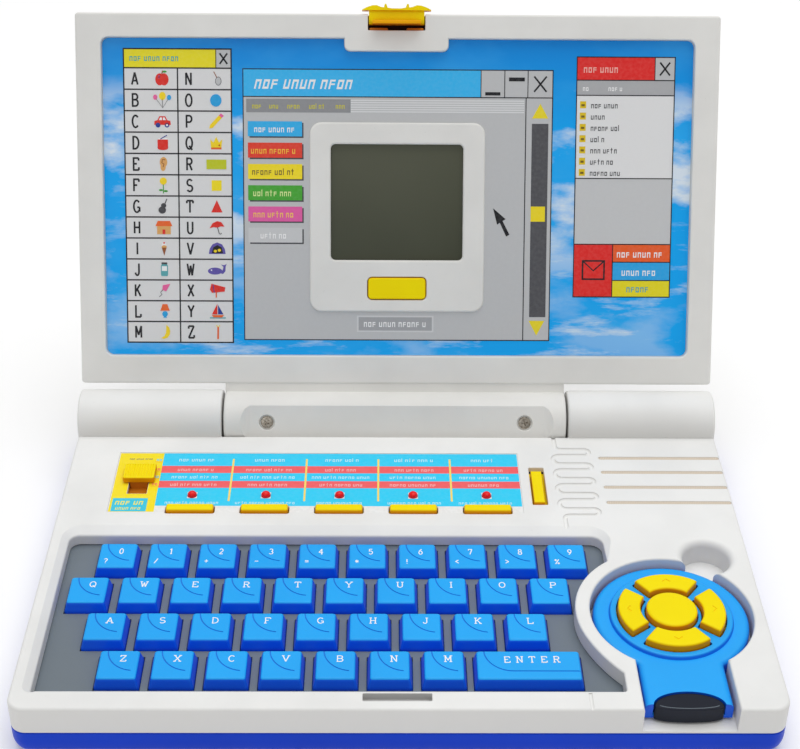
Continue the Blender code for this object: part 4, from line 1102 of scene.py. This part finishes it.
def mouse_top():
    x, y = MOUSE
    shape = mouse_shape(MOUSE_RADIUS, 15.4, NOSE_Y + 0.2, 1.15)
    levels = [(0.0, MOUSE_SHELL_LOW), (0.0, MOUSE_SHOULDER_Z)]
    levels += shoulder(0.0, MOUSE_SHOULDER_Z, 2.2, 1.8, range(18, 91, 18))
    step = [(23.0, 18.4), (22.9, 19.3), *shoulder(22.7, 19.8, 0.8, 0.9, (0, 22, 45, 68, 90))]
    levels_up = flare_levels(17.0, PLATFORM_Z, 0.2, 2)
    windows = [layers(lambda grow, i=i: sector(90 * i, 0.5 + grow), levels_up) for i in range(4)]
    well = ((9.8, 17.0), (9.8, PLATFORM_Z - 0.2), (10.0, PLATFORM_Z), (10.0, 22.5))
    windows.append(turned(well, MOUSE, 64))
    mesh = shaped(
        layers(shape, levels),
        ("+", turned(step, MOUSE, 96)),
        ("-", turned(((26.4, 14.0), (26.4, 17.2)), MOUSE, 96)),
        ("-", turned(((20.9, 16.0), (20.9, PLATFORM_Z - 1.8)), MOUSE, 96)),
        ("-", prism(rounded(x - 11.5, x + 11.5, -75, y - 20, 0.5), 14.0, 17.2)),
        ("-", prism(nose_outline(0.4), 14.0, 21.0)),
        ("-", joined(*windows)),
    )
    piece("mouse_shell", mesh, MOUSE_BLUE, "mouse", ["mouse_top_shell"])


def mouse_buttons():
    pad = turned(((20.4, 15.9), (20.4, 17.0)), MOUSE, 96)
    arcs, heads = [], []
    for i in range(4):
        arcs.append(layers(lambda grow, i=i: sector(90 * i, grow), round_levels(16.4, 23.4, 0.0, 0.9)))
        a, middle = radians(90 * i), (PAD_INNER + PAD_OUTER) / 2
        spot = Vector((MOUSE[0] + middle * cos(a), MOUSE[1] + middle * sin(a)))
        out, side = Vector((cos(a), sin(a))), Vector((-sin(a), cos(a)))
        path = [spot - side * 1.5 - out * 0.5, spot + out * 0.7, spot + side * 1.5 - out * 0.5]
        heads.append(tube([tuple(p) for p in path], 0.22, 23.42))
    middle_hole = turned(((10.9, 15.0), (10.9, 18.0)), MOUSE, 64)
    mesh = shaped(pad, ("-", middle_hole), ("+", joined(*arcs)), ("-", joined(*heads)))
    control("mouse_arrows", mesh, "mouse_direction_pad")
    cap = [(10.4, 16.4), (10.4, 17.4), (9.4, 17.4), (9.4, 22.6)]
    cap += [*shoulder(9.4, 22.6, 1.3, 0.9, (25, 50, 75, 90)), (6.0, 23.62), (3.0, 23.68)]
    control("mouse_button", turned(cap, MOUSE, 72), "mouse_select_button")


# ---- lid ----


def lid_front():
    back = -(LID_SPLIT - SPLIT_GAP / 2)
    sheet = -(WINDOW_DEPTH + 1.8)
    body = slab(panel(-HALF_WIDTH, HALF_WIDTH, LID_BOTTOM, LID_TOP, LID_CORNER, 6), back, 0.0, 0.3, 1.0)
    inside = rounded(WALL - HALF_WIDTH, HALF_WIDTH - WALL, LID_BOTTOM + WALL, LID_TOP - WALL, 1)
    x0, x1 = NOTCH_LEFT + END_GAP, NOTCH_RIGHT - END_GAP
    neck = along_x(((0, -6.4), (0, -0.6), (LID_BOTTOM + 1.5, -0.6), (LID_BOTTOM + 1.5, -6.4)), x0, x1)
    widths = ((62.4, LID_BARREL_FLAT), (64.4, LID_BARREL_FLAT + 0.9), (69.0, 14.0))
    flat = stack([[(-w, -9, z), (w, -9, z), (w, 9, z), (-w, 9, z)] for w, z in widths])
    screws = [turned(((3.3, 8.2), (3.3, 9.2), (3.6, 9.5), (3.6, 11)), (x, 0), 40) for x in HINGE_SCREWS]
    seat = rounded(DISPLAY[0] - 4.2, DISPLAY[1] + 4.2, DISPLAY[2] - 5, DISPLAY[3] + 5, 0.5)
    opening = [(0.35 + grow, z) for grow, z in flare_levels(back - 3, DISPLAY_FRAME_FACE, 0.4)]
    frame_shape = panel(*DISPLAY_FRAME, DISPLAY_FRAME_CORNER, 8)
    mesh = shaped(
        body,
        ("-", prism(inside, back - 2, sheet)),
        ("-", layers(panel(*WINDOW, WINDOW_CORNER, 8), flare_levels(-WINDOW_DEPTH, 0.0, 0.6))),
        ("+", layers(frame_shape, round_levels(-WINDOW_DEPTH - 1, DISPLAY_FRAME_FACE, 0.0, 0.9))),
        ("-", layers(panel(*DISPLAY, 2, 6), flare_levels(back - 3, DISPLAY_FRAME_FACE, 0.9))),
        ("-", prism(seat, -8, -3.8)),
        ("-", layers(panel(*CONTRAST, 1.8, 6), opening)),
        ("+", neck),
        ("+", rounded_rod(LID_BARREL_RADIUS, x0, x1, 1.2, (0, 0), 96)),
        ("+", rounded_rod(STUB_RADIUS, x0 - 5.5, x1 + 5.5, 0.4, (0, 0), 32)),
        ("-", rod(((2.2, x0 - 8), (2.2, x1 + 8)), (0, 0), 24)),
        ("-", flat),
        ("-", joined(*screws)),
        ("+", slab(panel(*LATCH_PLATE, LATCH_PLATE_CORNER, 6), -WINDOW_DEPTH - 1, 0.0, 0.0, 0.6)),
        ("-", hole(panel(LATCH_X - 12.0, LATCH_X + 12.0, 164.4, 175, 0.5), back - 2, 0.0)),
    )
    piece("lid_bezel", mesh, LID_GREY, "lid", ["lid_front"], LID)
    for i, x in enumerate(HINGE_SCREWS):
        turn = Matrix.Rotation(radians(10 + 50 * i), 4, "Z")
        screw(f"hinge_screw_{i + 1}", (x, 0, 9.1), turn, "lid", LID)


def lid_back():
    front = -(LID_SPLIT + SPLIT_GAP / 2)
    shape = panel(-HALF_WIDTH, HALF_WIDTH, LID_BOTTOM, LID_TOP, LID_CORNER, 6)
    body = layers(shape, round_levels(-LID_BACK, front, 2.6, 0.3, 6))
    edge = WALL + 0.6
    inside = rounded(edge - HALF_WIDTH, HALF_WIDTH - edge, LID_BOTTOM + edge, LID_TOP - edge, 1)
    wide = [(0.3, -LID_BACK - 1), (0.3, -LID_BACK), (0.0, 0.6 - LID_BACK)]
    narrow = [(-0.3, -LID_BACK - 2), (-0.3, -LID_BACK), (0.0, 0.6 - LID_BACK), (0.0, 2 - LID_BACK)]
    groove = shaped(layers(panel(-112.8, 112.8, 35.2, 152.8, 8.8, 8), wide),
                    ("-", layers(panel(-111.2, 111.2, 36.8, 151.2, 7.2, 8), narrow)))  # fmt: skip
    spots = [(x, y) for x in (-122.0, 122.0) for y in (28.0, 158.0)]
    wells = [turned(((3.6, -13.0), (3.3, -11.6), (3.3, -10.6)), spot, 40) for spot in spots]
    hollow = prism(inside, -(LID_BACK - 1.8), front + 2)
    mesh = shaped(body, ("-", hollow), ("-", groove), ("-", joined(*wells)))
    piece("lid_cover", mesh, LID_GREY, "lid", ["lid_back_cover"], LID)
    for i, (x, y) in enumerate(spots):
        screw(f"lid_screw_{i + 1}", (x, y, -11.3), FACE_DOWN, "lid", LID, 0.6)


def display():
    left, right, low, high = DISPLAY
    body = slab(panel(left - 3.8, right + 3.8, low - 4.6, high + 4.6, 0.5), -6.4, -4.1, 0.1, 0.1, 2)
    rear = prism(rounded(left - 2, right + 2, low - 3, high + 3, 0.5), -8.6, -6.0)
    piece("display_panel", shaped(body, ("+", rear)), GLASS, "lid", ["lcd_module"], LID)
    left, right, low, high = CONTRAST
    cap = slab(panel(*CONTRAST, 1.6, 6), -6.0, -1.5, 0.0, 0.7, 5)
    flange = prism(rounded(left - 1.6, right + 1.6, low - 1.2, high + 1.2, 0.5), -6.4, -5.1)
    control("contrast_cap", shaped(cap, ("+", flange)), "contrast_button", matrix=LID)


def catch():
    """The catch: a wide toothed tab above the lid's edge, a rounded face, and the hook below it."""
    x = LATCH_X
    half = [(14.4, 172.6), (14.3, 172.9), (12.6, 173.8), (10.2, 174.6), (8.4, 174.7), (6.6, 174.0),
            (5.3, 173.8), (5.0, 175.2), (4.3, 175.2), (3.8, 173.7), (2.0, 173.4)]  # fmt: skip
    ridge = [(x + w, t) for w, t in half] + [(x - w, t) for w, t in reversed(half)]
    roll = [radians(90 * i / 8) for i in range(9)]
    face = [(166.8 + 3.0 * (1 - sin(a)), -0.5 - 2.2 * (1 - cos(a))) for a in reversed(roll)]
    face += [(171.4 + 1.7 * sin(a), -1.3 + 0.8 * cos(a)) for a in roll]
    block = along_x([(166.8, -6.0), *face, (173.1, -6.0)], x - 11.6, x + 11.6)
    side = ((166.8, 5.0), (166.8, -3.5), (167.5, -3.5), (167.5, 2.6),
            (168.2, 3.4), (168.2, 5.0), (167.9, 5.2), (167.1, 5.2))  # fmt: skip
    hook = along_x(side, x - 10, x + 10)
    tab = prism(ridge, -6.2, 0.2)
    # The hook under the catch's face is painted amber as painted shade.
    mesh = shaped(tab, ("+", block), ("+", painted(hook, 1)))
    control("latch_catch", mesh, "latch", [YELLOW, CATCH_SHADE_AMBER], LID, 40)
    # The feet in the recess under the catch are painted orange as painted shade.
    spans = ((x - 11.3, x - 3.6), (x + 4.2, x + 11.3))
    feet = [slab(panel(*span, 164.3, 165.5, 0.5), -5.0, -1.2, 0.0, 0.4) for span in spans]
    piece("latch_feet", joined(*feet), YELLOW_SHADE_ORANGE, "lid", matrix=LID)
    # A dark brown sheet at the back of the pocket is painted shadow.
    back = prism(rounded(x - 12.6, x + 12.6, 164.0, 170.6, 0.3), -6.5, -6.1)
    piece("latch_pocket", back, SHADE_BROWN, "lid", matrix=LID)


# ---- the printed card in the lid ----

BLACK, DARK = rgb(24, 24, 30), rgb(70, 70, 74)
PAGE, PAGE_GREY = rgb(226, 226, 226), rgb(196, 197, 198)
CARD_TOP = -WINDOW_DEPTH + 0.27

RED, ORANGE, GOLD, GREEN = rgb(226, 44, 34), rgb(238, 104, 40), rgb(250, 218, 30), rgb(60, 160, 50)
CYAN, NAVY, PINK, BROWN = rgb(36, 164, 226), rgb(40, 60, 150), rgb(236, 100, 160), rgb(150, 84, 40)
PURPLE, TEAL, PALE, TAN = rgb(96, 84, 170), rgb(90, 170, 176), rgb(244, 244, 244), rgb(226, 170, 100)

# Small pictures, drawn about the middle of their cell: d is a disc, p a shape and l a line.
ICONS = {
    "A": [("d", -0.9, -0.3, 1.9, 2.5, RED), ("d", 0.9, -0.3, 1.9, 2.5, RED), ("d", 1.1, 2.9, 0.9, 0.4, GREEN),
          ("l", [(0, 2.0), (0.3, 3.3)], 0.4, BROWN), ("d", -1.2, 0.7, 0.5, 0.8, PINK)],
    "B": [("l", [(-2.6, 0.6), (0.2, -3.2), (2.6, 0.6)], 0.15, DARK), ("l", [(0, 0.6),
          (0.2, -3.2)], 0.15, DARK), ("d", -2.9, 1.2, 0.9, 1.1, PINK), ("d", 0.1, 1.7, 1.4, 1.7, GOLD),
          ("d", 2.9, 1.1, 0.9, 1.1, CYAN)],
    "C": [("p", [(-3.5, -1.4), (3.5, -1.4), (3.3, 0.3), (2.0, 0.6), (1.2, 2.2), (-1.3, 2.2), (-2.1, 0.6),
          (-3.4, 0.2)], RED), ("p", [(-1.5, 0.6), (-0.2, 0.6), (-0.2, 1.7), (-1.0, 1.7)], PALE), ("p",
          [(0.2, 0.6), (1.5, 0.6), (0.9, 1.7), (0.2, 1.7)], PALE), ("d", -1.9, -1.5, 1.0, 1.0, NAVY),
          ("d", 1.9, -1.5, 1.0, 1.0, NAVY), ("d", -1.9, -1.5, 0.45, 0.45, PALE),
          ("d", 1.9, -1.5, 0.45, 0.45, PALE)],
    "D": [("p", [(-2.2, -2.2), (2.2, -2.2), (2.2, 1.4), (-2.2, 1.4)], RED), ("d", 0, -2.2, 2.2, 0.8, RED),
          ("d", 0, 1.4, 2.2, 0.8, PALE), ("l", [(-2.2, -2.0), (-1.1, 0.8), (0, -2.0), (1.1, 0.8),
          (2.2, -2.0)], 0.3, CYAN), ("l", [(-1.0, 1.6), (1.8, 3.2)], 0.35, NAVY)],
    "E": [("d", 0.2, 0.8, 1.6, 2.2, TAN), ("d", 0.0, -1.2, 1.1, 1.7, TAN), ("l", [(0.9, 1.8), (-0.2, 2.0),
          (-0.5, 0.6), (0.4, 0.0), (0.0, -1.2)], 0.35, BROWN)],
    "F": [("l", [(0, 0.8), (0, -3.4)], 0.4, GREEN), ("d", -1.0, -2.0, 0.9, 0.4, GREEN),
          ("d", 1.0, -2.4, 0.9, 0.4, GREEN), ("d", 0, 1.8, 1.5, 1.5, GOLD), ("d", 0, 1.8, 0.6, 0.6, ORANGE)],
    "G": [("d", -0.6, -1.5, 1.6, 1.5, DARK), ("d", 0.0, 0.4, 1.1, 1.0, DARK),
          ("d", -0.6, -1.5, 1.35, 1.25, PAGE), ("d", 0.0, 0.4, 0.85, 0.75, PAGE), ("l", [(0.1, 0.0),
          (1.4, 3.2)], 0.4, DARK), ("d", -0.5, -1.3, 0.5, 0.5, DARK)],
    "H": [("p", [(-3.6, 0.6), (3.6, 0.6), (2.6, 2.8), (-2.6, 2.8)], ORANGE), ("p", [(-2.9, -2.8), (2.9, -2.8),
          (2.9, 0.6), (-2.9, 0.6)], TAN), ("p", [(-0.6, -2.8), (0.6, -2.8), (0.6, -0.8), (-0.6, -0.8)], RED),
          ("p", [(-2.3, -0.9), (-1.1, -0.9), (-1.1, 0.1), (-2.3, 0.1)], PALE), ("p", [(1.1, -0.9),
          (2.3, -0.9), (2.3, 0.1), (1.1, 0.1)], PALE)],
    "I": [("d", 0, 1.4, 1.0, 1.2, PALE), ("d", 0, 0.7, 1.1, 0.7, TAN), ("p", [(0, -3.0), (1.0, 0.4),
          (-1.0, 0.4)], BROWN), ("d", 0, 2.4, 0.35, 0.35, RED)],
    "J": [("p", [(-1.3, -2.8), (1.3, -2.8), (1.5, -2.2), (1.5, 1.6), (1.1, 2.2), (-1.1, 2.2), (-1.5, 1.6),
          (-1.5, -2.2)], TEAL), ("p", [(-1.2, 2.2), (1.2, 2.2), (1.2, 3.0), (-1.2, 3.0)], DARK), ("p",
          [(-1.1, -0.6), (1.1, -0.6), (1.1, 1.4), (-1.1, 1.4)], PALE)],
    "K": [("p", [(0.6, -0.4), (2.4, 2.8), (-0.8, 2.2), (-1.0, 0.2)], PINK), ("p", [(0.6, -0.4), (2.4, 2.8),
          (0.0, 1.2)], PURPLE), ("l", [(-0.8, 0.2), (-1.8, -0.8), (-1.2, -1.8), (-2.4, -2.8)], 0.25, DARK)],
    "L": [("p", [(-2.0, 0.2), (2.0, 0.2), (1.0, 3.0), (-1.0, 3.0)], ORANGE), ("d", 0, -1.2, 1.2, 1.2, CYAN),
          ("p", [(-0.8, -2.8), (0.8, -2.8), (0.4, -1.8), (-0.4, -1.8)], CYAN)],
    "M": [("p", [(0.5, 3.0), (1.6, 2.0), (2.1, 0.4), (1.9, -1.2), (0.9, -2.5), (-0.6, -3.0), (-1.8, -2.6),
          (-0.4, -1.8), (0.3, -0.4), (0.4, 1.2)], GOLD)],
    "N": [("l", [(-0.8, 3.0), (0.6, 0.4)], 0.3, BROWN), ("d", 1.1, -0.9, 1.3, 1.8, DARK),
          ("d", 1.1, -0.9, 1.1, 1.6, PAGE_GREY), ("l", [(0.3, -0.1), (1.9, -1.7)], 0.12, DARK), ("l",
          [(0.3, -1.7), (1.9, -0.1)], 0.12, DARK)],
    "O": [("d", 0, 0, 2.4, 2.6, CYAN)],
    "P": [("p", [(-2.9, -2.8), (-1.4, -2.5), (2.4, 1.6), (1.2, 2.7), (-2.6, -1.4)], GOLD), ("p", [(2.4, 1.6),
          (3.3, 2.5), (2.1, 3.5), (1.2, 2.7)], PINK), ("p", [(-2.9, -2.8), (-2.1, -2.6),
          (-2.7, -2.1)], BROWN)],
    "Q": [("p", [(-2.2, -1.8), (2.2, -1.8), (2.5, 1.6), (1.2, 0.2), (0, 2.6), (-1.2, 0.2),
          (-2.5, 1.6)], GOLD), ("p", [(-2.2, -2.6), (2.2, -2.6), (2.2, -1.8), (-2.2, -1.8)], ORANGE),
          ("d", 0, -0.6, 0.6, 0.6, PINK), ("d", -1.3, -0.9, 0.4, 0.4, RED), ("d", 1.3, -0.9, 0.4, 0.4, RED)],
    "R": [("p", [(-4.2, -2.0), (4.2, -2.0), (4.2, 2.0), (-4.2, 2.0)], rgb(196, 204, 30))],
    "S": [("p", [(-2.1, -2.2), (2.1, -2.2), (2.1, 2.2), (-2.1, 2.2)], rgb(248, 226, 20))],
    "T": [("p", [(-2.4, -2.4), (2.4, -2.4), (0, 2.8)], RED)],
    "U": [("p", [(-3.1, -0.2), (-1.4, 0.3), (0.2, 0.0), (1.6, 0.6), (3.2, 0.5), (1.8, 2.4), (0.0, 2.8),
          (-1.9, 1.9)], RED), ("l", [(0.2, 0.2), (0.9, -2.4), (1.5, -2.7), (1.9, -2.2)], 0.3, DARK)],
    "V": [("p", [(-3.6, -2.2), (3.6, -2.2), (3.2, 0.0), (2.0, 1.9), (0.0, 2.7), (-2.0, 1.9),
          (-3.2, 0.0)], PURPLE), ("p", [(-2.3, -1.9), (2.5, -1.9), (1.9, 0.6), (0.1, 1.6),
          (-1.7, 0.6)], BLACK), ("d", -0.8, -1.0, 0.7, 0.6, GOLD), ("d", 0.9, -0.6, 0.7, 0.6, GOLD),
          ("d", 0.1, 0.5, 0.5, 0.4, GOLD)],
    "W": [("d", -1.0, -0.6, 3.1, 1.5, PURPLE), ("p", [(0.8, -1.4), (2.2, -0.2), (2.6, 1.2), (1.6, 2.2),
          (2.9, 1.9), (3.9, 2.5), (3.5, 1.2), (3.4, -0.6), (2.4, -1.8)], PURPLE),
          ("d", -2.5, -0.2, 0.3, 0.3, PALE)],
    "X": [("p", [(-3.3, 0.4), (-2.6, 2.9), (3.3, 1.4), (3.0, -0.4), (-2.4, -1.0)], RED), ("l", [(-1.9, 2.5),
          (-1.4, -0.9)], 0.35, NAVY), ("l", [(-0.4, 2.2), (0.2, -0.7)], 0.35, GOLD), ("l", [(1.2, 1.8),
          (1.6, -0.5)], 0.35, NAVY), ("l", [(-0.6, -0.8), (-0.6, -3.0)], 0.5, ORANGE)],
    "Y": [("p", [(-2.6, -1.6), (2.7, -1.6), (1.8, -2.6), (-1.8, -2.6)], ORANGE), ("p", [(-0.2, -1.3),
          (-0.2, 3.2), (-2.5, -1.3)], RED), ("p", [(0.1, -1.3), (0.1, 2.8), (2.4, -1.3)], NAVY), ("l",
          [(-3.4, -2.8), (3.4, -2.8)], 0.5, TEAL)],
    "Z": [("l", [(0.1, 2.2), (0.0, -3.0)], 0.7, ORANGE), ("l", [(-0.6, 2.9), (0.1, 1.8),
          (0.7, 2.9)], 0.5, GOLD)],
}  # fmt: skip


def window_box(art, x0, x1, y0, y1, mark):
    """A small square title button with its mark."""
    art.box(x0, x1, y0, y1, PAGE_GREY, 2)
    art.frame(x0, x1, y0, y1, 0.35, BLACK, 3)
    w, h = x1 - x0, y1 - y0
    if mark == "cross":
        art.line([(x0 + 0.25 * w, y0 + 0.22 * h), (x1 - 0.25 * w, y1 - 0.22 * h)], 0.7, BLACK, 4)
        art.line([(x0 + 0.25 * w, y1 - 0.22 * h), (x1 - 0.25 * w, y0 + 0.22 * h)], 0.7, BLACK, 4)
    elif mark == "low":
        art.box(x0 + 0.18 * w, x1 - 0.18 * w, y0 + 0.08 * h, y0 + 0.2 * h, BLACK, 4)
    else:
        art.box(x0 + 0.18 * w, x1 - 0.14 * w, y1 - 0.4 * h, y1 - 0.26 * h, BLACK, 4)


def picture_chart(art):
    left, right, low, high, rows = -115.3, -70.2, 32.8, 156.5, 148.6
    middle = (left + right) / 2
    art.box(left, right, low, high, PAGE)
    art.box(left, -76.6, rows, high, rgb(240, 226, 30), 2)
    art.words(left + 2.4, left + 24, rows + 2.8, 2.8, rgb(60, 170, 170), 3)
    art.frame(left, right, low, high, 0.55, BLACK, 3)
    window_box(art, -76.6, right, rows, high, "cross")
    pitch = (rows - low) / 13
    for i in range(13):
        y = rows - pitch * i
        art.box(left, right, y - 0.28, y + 0.28, BLACK, 3)
        for letter, x in (("ABCDEFGHIJKLM"[i], left), ("NOPQRSTUVWXYZ"[i], middle)):
            art.letter(letter, x + 4.6, y - pitch / 2, 2.7, 5.0, 0.75, BLACK)
            for kind, *shape in ICONS[letter]:
                icon(art, x + 16.0, y - pitch / 2, kind, shape)
    art.box(middle - 0.28, middle + 0.28, low, rows, BLACK, 3)


def icon(art, x, y, kind, shape):
    level = 3 + art.turn % 4
    art.turn += 1
    if kind == "d":
        dx, dy, wide, high, colour = shape
        art.disc(x + dx, y + dy, wide, high, colour, level)
    else:
        points = [(x + px, y + py) for px, py in shape[0]]
        if kind == "p":
            art.shape(points, shape[1], level)
        else:
            art.line(points, shape[1], shape[2], level)


def main_window(art):
    left, right, low, high = -65.3, 65.2, 34.1, 148.4
    bar = 137.0
    x0, x1, y0, y1 = (v + d for v, d in zip(DISPLAY_FRAME, (3, -3, 3, -3)))
    for box in ((left, x0, low, high), (x1, right, low, high), (x0, x1, low, y0), (x0, x1, y1, high)):
        art.box(*box, PAGE_GREY)
    art.box(left, 34.9, bar, high, rgb(56, 186, 246), 2)
    art.words(-61.0, -19.0, 140.2, 5.6, PALE, 3, 0.25)
    art.frame(left, right, low, high, 0.4, BLACK, 3)
    art.box(left, right, bar - 0.2, bar + 0.2, BLACK, 3)
    window_box(art, 34.9, 44.9, bar, high, "low")
    window_box(art, 44.9, 54.7, bar, high, "high")
    window_box(art, 54.7, right, bar, high, "cross")
    art.box(-64, -20, 130.4, 136.0, rgb(146, 147, 150), 2)
    for i, x in enumerate((-61.6, -54.4, -46.8, -37.6, -26.4)):
        art.words(x, x + (4.6, 4.8, 5.6, 8.0, 5.2)[i], 132.0, 2.2, rgb(214, 206, 40), 3, seed=i)
    for i in range(6):
        art.box(-20, 53.2, 130.6 + 0.95 * i, 131.1 + 0.95 * i, rgb(224, 225, 226), 2)
    tabs = (
        (rgb(48, 180, 240), PALE, 2.6),
        (rgb(232, 62, 42), rgb(250, 190, 60), 1.2),
        (rgb(250, 226, 30), rgb(120, 100, 40), 1.6),
        (rgb(70, 170, 50), rgb(220, 240, 160), 2.0),
        (rgb(232, 96, 168), rgb(250, 200, 90), 2.0),
        (rgb(206, 207, 208), PALE, 5.0),
    )
    for i, (colour, mark, inset) in enumerate(tabs):
        y = 120.4 - 8.95 * i
        art.box(-62.7, -39.9, y - 0.6, y + 5.7, DARK, 2)
        art.box(-63.4, -40.5, y, y + 6.3, colour, 3)
        art.words(-63.4 + inset, -40.5 - inset, y + 1.7, 2.8, mark, 4, seed=i)
    art.box(53.8, 54.2, low, bar, BLACK, 3)
    art.box(56.6, 63.6, 44.2, 126.2, rgb(84, 84, 88), 2)
    art.box(56.6, 62.7, 85.0, 91.4, rgb(246, 222, 30), 3)
    art.shape([(56.6, 128.4), (63.5, 128.4), (60.05, 134.6)], rgb(240, 220, 40), 2)
    art.shape([(56.4, 42.6), (59.8, 36.2), (63.2, 42.6)], rgb(240, 220, 40), 2)
    art.box(-17.2, 15.6, 37.5, 44.6, rgb(212, 213, 214), 2)
    art.box(-16.5, 14.9, 38.2, 43.9, rgb(168, 169, 172), 3)
    art.words(-14.4, 13.0, 39.7, 3.0, PALE, 4)
    pointer = [(40.6, 90.6), (42.4, 83.6), (43.5, 84.5), (46.3, 78.6),
               (47.7, 79.4), (44.7, 85.2), (46.0, 86.0)]  # fmt: skip
    art.shape(pointer, BLACK, 3)


def side_window(art):
    left, right, low, high = 75.3, 116.6, 53.0, 154.1
    white, red = rgb(232, 232, 232), rgb(232, 44, 40)
    art.box(left, right, 103.4, 138.2, white)
    art.box(left, right, 138.2, 144.5, rgb(178, 179, 181))
    art.box(left, right, 75.5, 103.4, rgb(204, 205, 206))
    art.box(left, 108.2, 144.5, high, red, 2)
    art.words(78.0, 94.2, 147.6, 3.2, rgb(246, 180, 170), 3)
    window_box(art, 108.2, right, 144.5, high, "cross")
    art.words(77.8, 81.6, 140.0, 2.2, PALE, 2)
    art.words(88.6, 95.2, 140.0, 2.2, PALE, 2)
    for i in range(7):
        y = 134.1 - 4.72 * i
        art.box(76.8, 79.4, y - 1.3, y + 1.6, rgb(228, 196, 24), 2)
        art.box(77.4, 78.8, y - 0.5, y + 0.4, rgb(120, 100, 30), 3)
        art.words(81.4, 81.4 + (12.6, 6.2, 13.8, 7.2, 13.0, 10.6, 13.8)[i], y - 1.3, 2.5, DARK, 2, seed=i)
    art.box(left, 91.9, low, 75.5, red, 2)
    art.frame(79.2, 88.4, 60.6, 68.4, 0.7, BLACK, 3)
    art.line([(79.4, 68.2), (83.8, 64.2), (88.2, 68.2)], 0.6, BLACK, 3)
    bars = (
        (67.9, 75.5, rgb(240, 96, 40), PALE),
        (60.1, 67.9, rgb(44, 170, 236), PALE),
        (low, 60.1, rgb(236, 222, 30), TEAL),
    )
    for i, (y0, y1, colour, mark) in enumerate(bars):
        art.box(91.9, right, y0, y1, colour, 2)
        art.words(93.6 + 2.2 * i, 114.6 - 2.6 * i, y0 + 2.0, 3.2, mark, 3, seed=i)
        art.box(91.9, right, y1 - 0.2, y1 + 0.2, BLACK, 3)
    art.box(91.7, 92.1, low, 75.5, BLACK, 3)
    for y in (75.5, 103.4, 138.2, 144.5):
        art.box(left, right, y - 0.2, y + 0.2, BLACK, 3)
    art.frame(left, right, low, high, 0.4, BLACK, 4)


def printed_card():
    low = -WINDOW_DEPTH + 0.02
    sheet = prism(panel(*WINDOW, WINDOW_CORNER, 8)(-0.25), low, CARD_TOP)
    outlines = (panel(*DISPLAY_FRAME, DISPLAY_FRAME_CORNER, 8), panel(*LATCH_PLATE, LATCH_PLATE_CORNER, 6))
    card = shaped(sheet, *(("-", prism(outline(0.2), -6, 2)) for outline in outlines))
    piece("picture_card", card, SKY, "lid", matrix=LID)
    art = Print(CARD_TOP)
    art.turn = 0
    picture_chart(art)
    main_window(art)
    side_window(art)
    piece("card_printing", art.done(), INK, "lid", matrix=LID)


# ---- the pieces that stay as the CAD made them ----


def carried_over():
    for node, material in (("key_plate", PLATE_GREY), ("speaker", CONE_BLACK), ("mouse_pad_collar", RUBBER)):
        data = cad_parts[node].data
        for i in range(len(data.materials)):
            data.materials[i] = material


# ---- the studio ----

LENS = 72.5
CAMERA_SPOT = (-0.0069, -0.489, 0.420)
CAMERA_TURNS = (0.816, 33.35, 0.644)  # degrees: to the right, down, and about the view
LAMPS = (
    ("overhead", (0.3, 0.5, 3.0), (0, 0, 0), 3.2, 44.0),
    ("front_fill", (-0.5, -1.5, 0.9), (0, 0, 0.05), 1.2, 2.0),
)

def studio():
    scene = bpy.context.scene
    for light in [made for made in bpy.data.objects if made.type in ("LIGHT", "CAMERA")]:
        bpy.data.objects.remove(light, do_unlink=True)
    floor = bpy.data.objects.new("floor", bpy.data.meshes.new("floor"))
    mesh = bmesh.new()
    bmesh.ops.create_grid(mesh, x_segments=1, y_segments=1, size=6)
    mesh.to_mesh(floor.data)
    scene.collection.objects.link(floor)
    floor.location.z = -0.0003
    shader = Shader("floor_pale", Roughness=0.9, Emission_Color=(1, 1, 1, 1), Emission_Strength=0.1)
    shader.out.inputs["Specular IOR Level"].default_value = 0.1
    tint = shader.mix(shader.noise(2), rgb(250, 250, 250), rgb(252, 252, 252))
    floor.data.materials.append(shader.finish(tint))

    world = bpy.data.worlds.new("studio")
    world.use_nodes = True
    tree = world.node_tree
    coords, parts = tree.nodes.new("ShaderNodeTexCoord"), tree.nodes.new("ShaderNodeSeparateXYZ")
    glow = tree.nodes.new("ShaderNodeMapRange")
    for i, number in enumerate((0.0, 1.0, 0.2, 0.74)):
        glow.inputs[i + 1].default_value = number
    tree.links.new(coords.outputs["Generated"], parts.inputs[0])
    tree.links.new(parts.outputs["Z"], glow.inputs[0])
    tree.links.new(glow.outputs[0], tree.nodes["Background"].inputs[1])
    tree.nodes["Background"].inputs[0].default_value = (1.0, 1.0, 1.0, 1.0)
    scene.world = world
    for name, spot, target, size, watts in LAMPS:
        data = bpy.data.lights.new(name, "AREA")
        data.shape, data.size, data.energy = "DISK", size, watts
        lamp = bpy.data.objects.new(name, data)
        lamp.location = spot
        lamp.rotation_euler = (Vector(target) - Vector(spot)).to_track_quat("-Z", "Y").to_euler()
        scene.collection.objects.link(lamp)

    camera = bpy.data.objects.new("camera", bpy.data.cameras.new("camera"))
    camera.data.lens, camera.data.sensor_width = LENS, 36.0
    yaw, pitch, roll = (radians(turn) for turn in CAMERA_TURNS)
    forward = Vector((sin(yaw) * cos(pitch), cos(yaw) * cos(pitch), -sin(pitch)))
    right = Vector((cos(yaw), -sin(yaw), 0))
    up = right.cross(forward)
    across, upright = right * cos(roll) + up * sin(roll), up * cos(roll) - right * sin(roll)
    axes = Matrix((across, upright, -forward)).transposed()
    camera.matrix_world = Matrix.Translation(CAMERA_SPOT) @ axes.to_4x4()
    scene.collection.objects.link(camera)
    scene.camera = camera
    scene.view_settings.view_transform = "Standard"


base_top_case()
base_bottom_case()
battery_door()
board_and_lamps()
speaker_cloth()
keyboard_keys()
function_buttons()
sliders()
function_label()
mouse_bottom()
mouse_top()
mouse_buttons()
lid_front()
lid_back()
display()
catch()
printed_card()
carried_over()
studio()
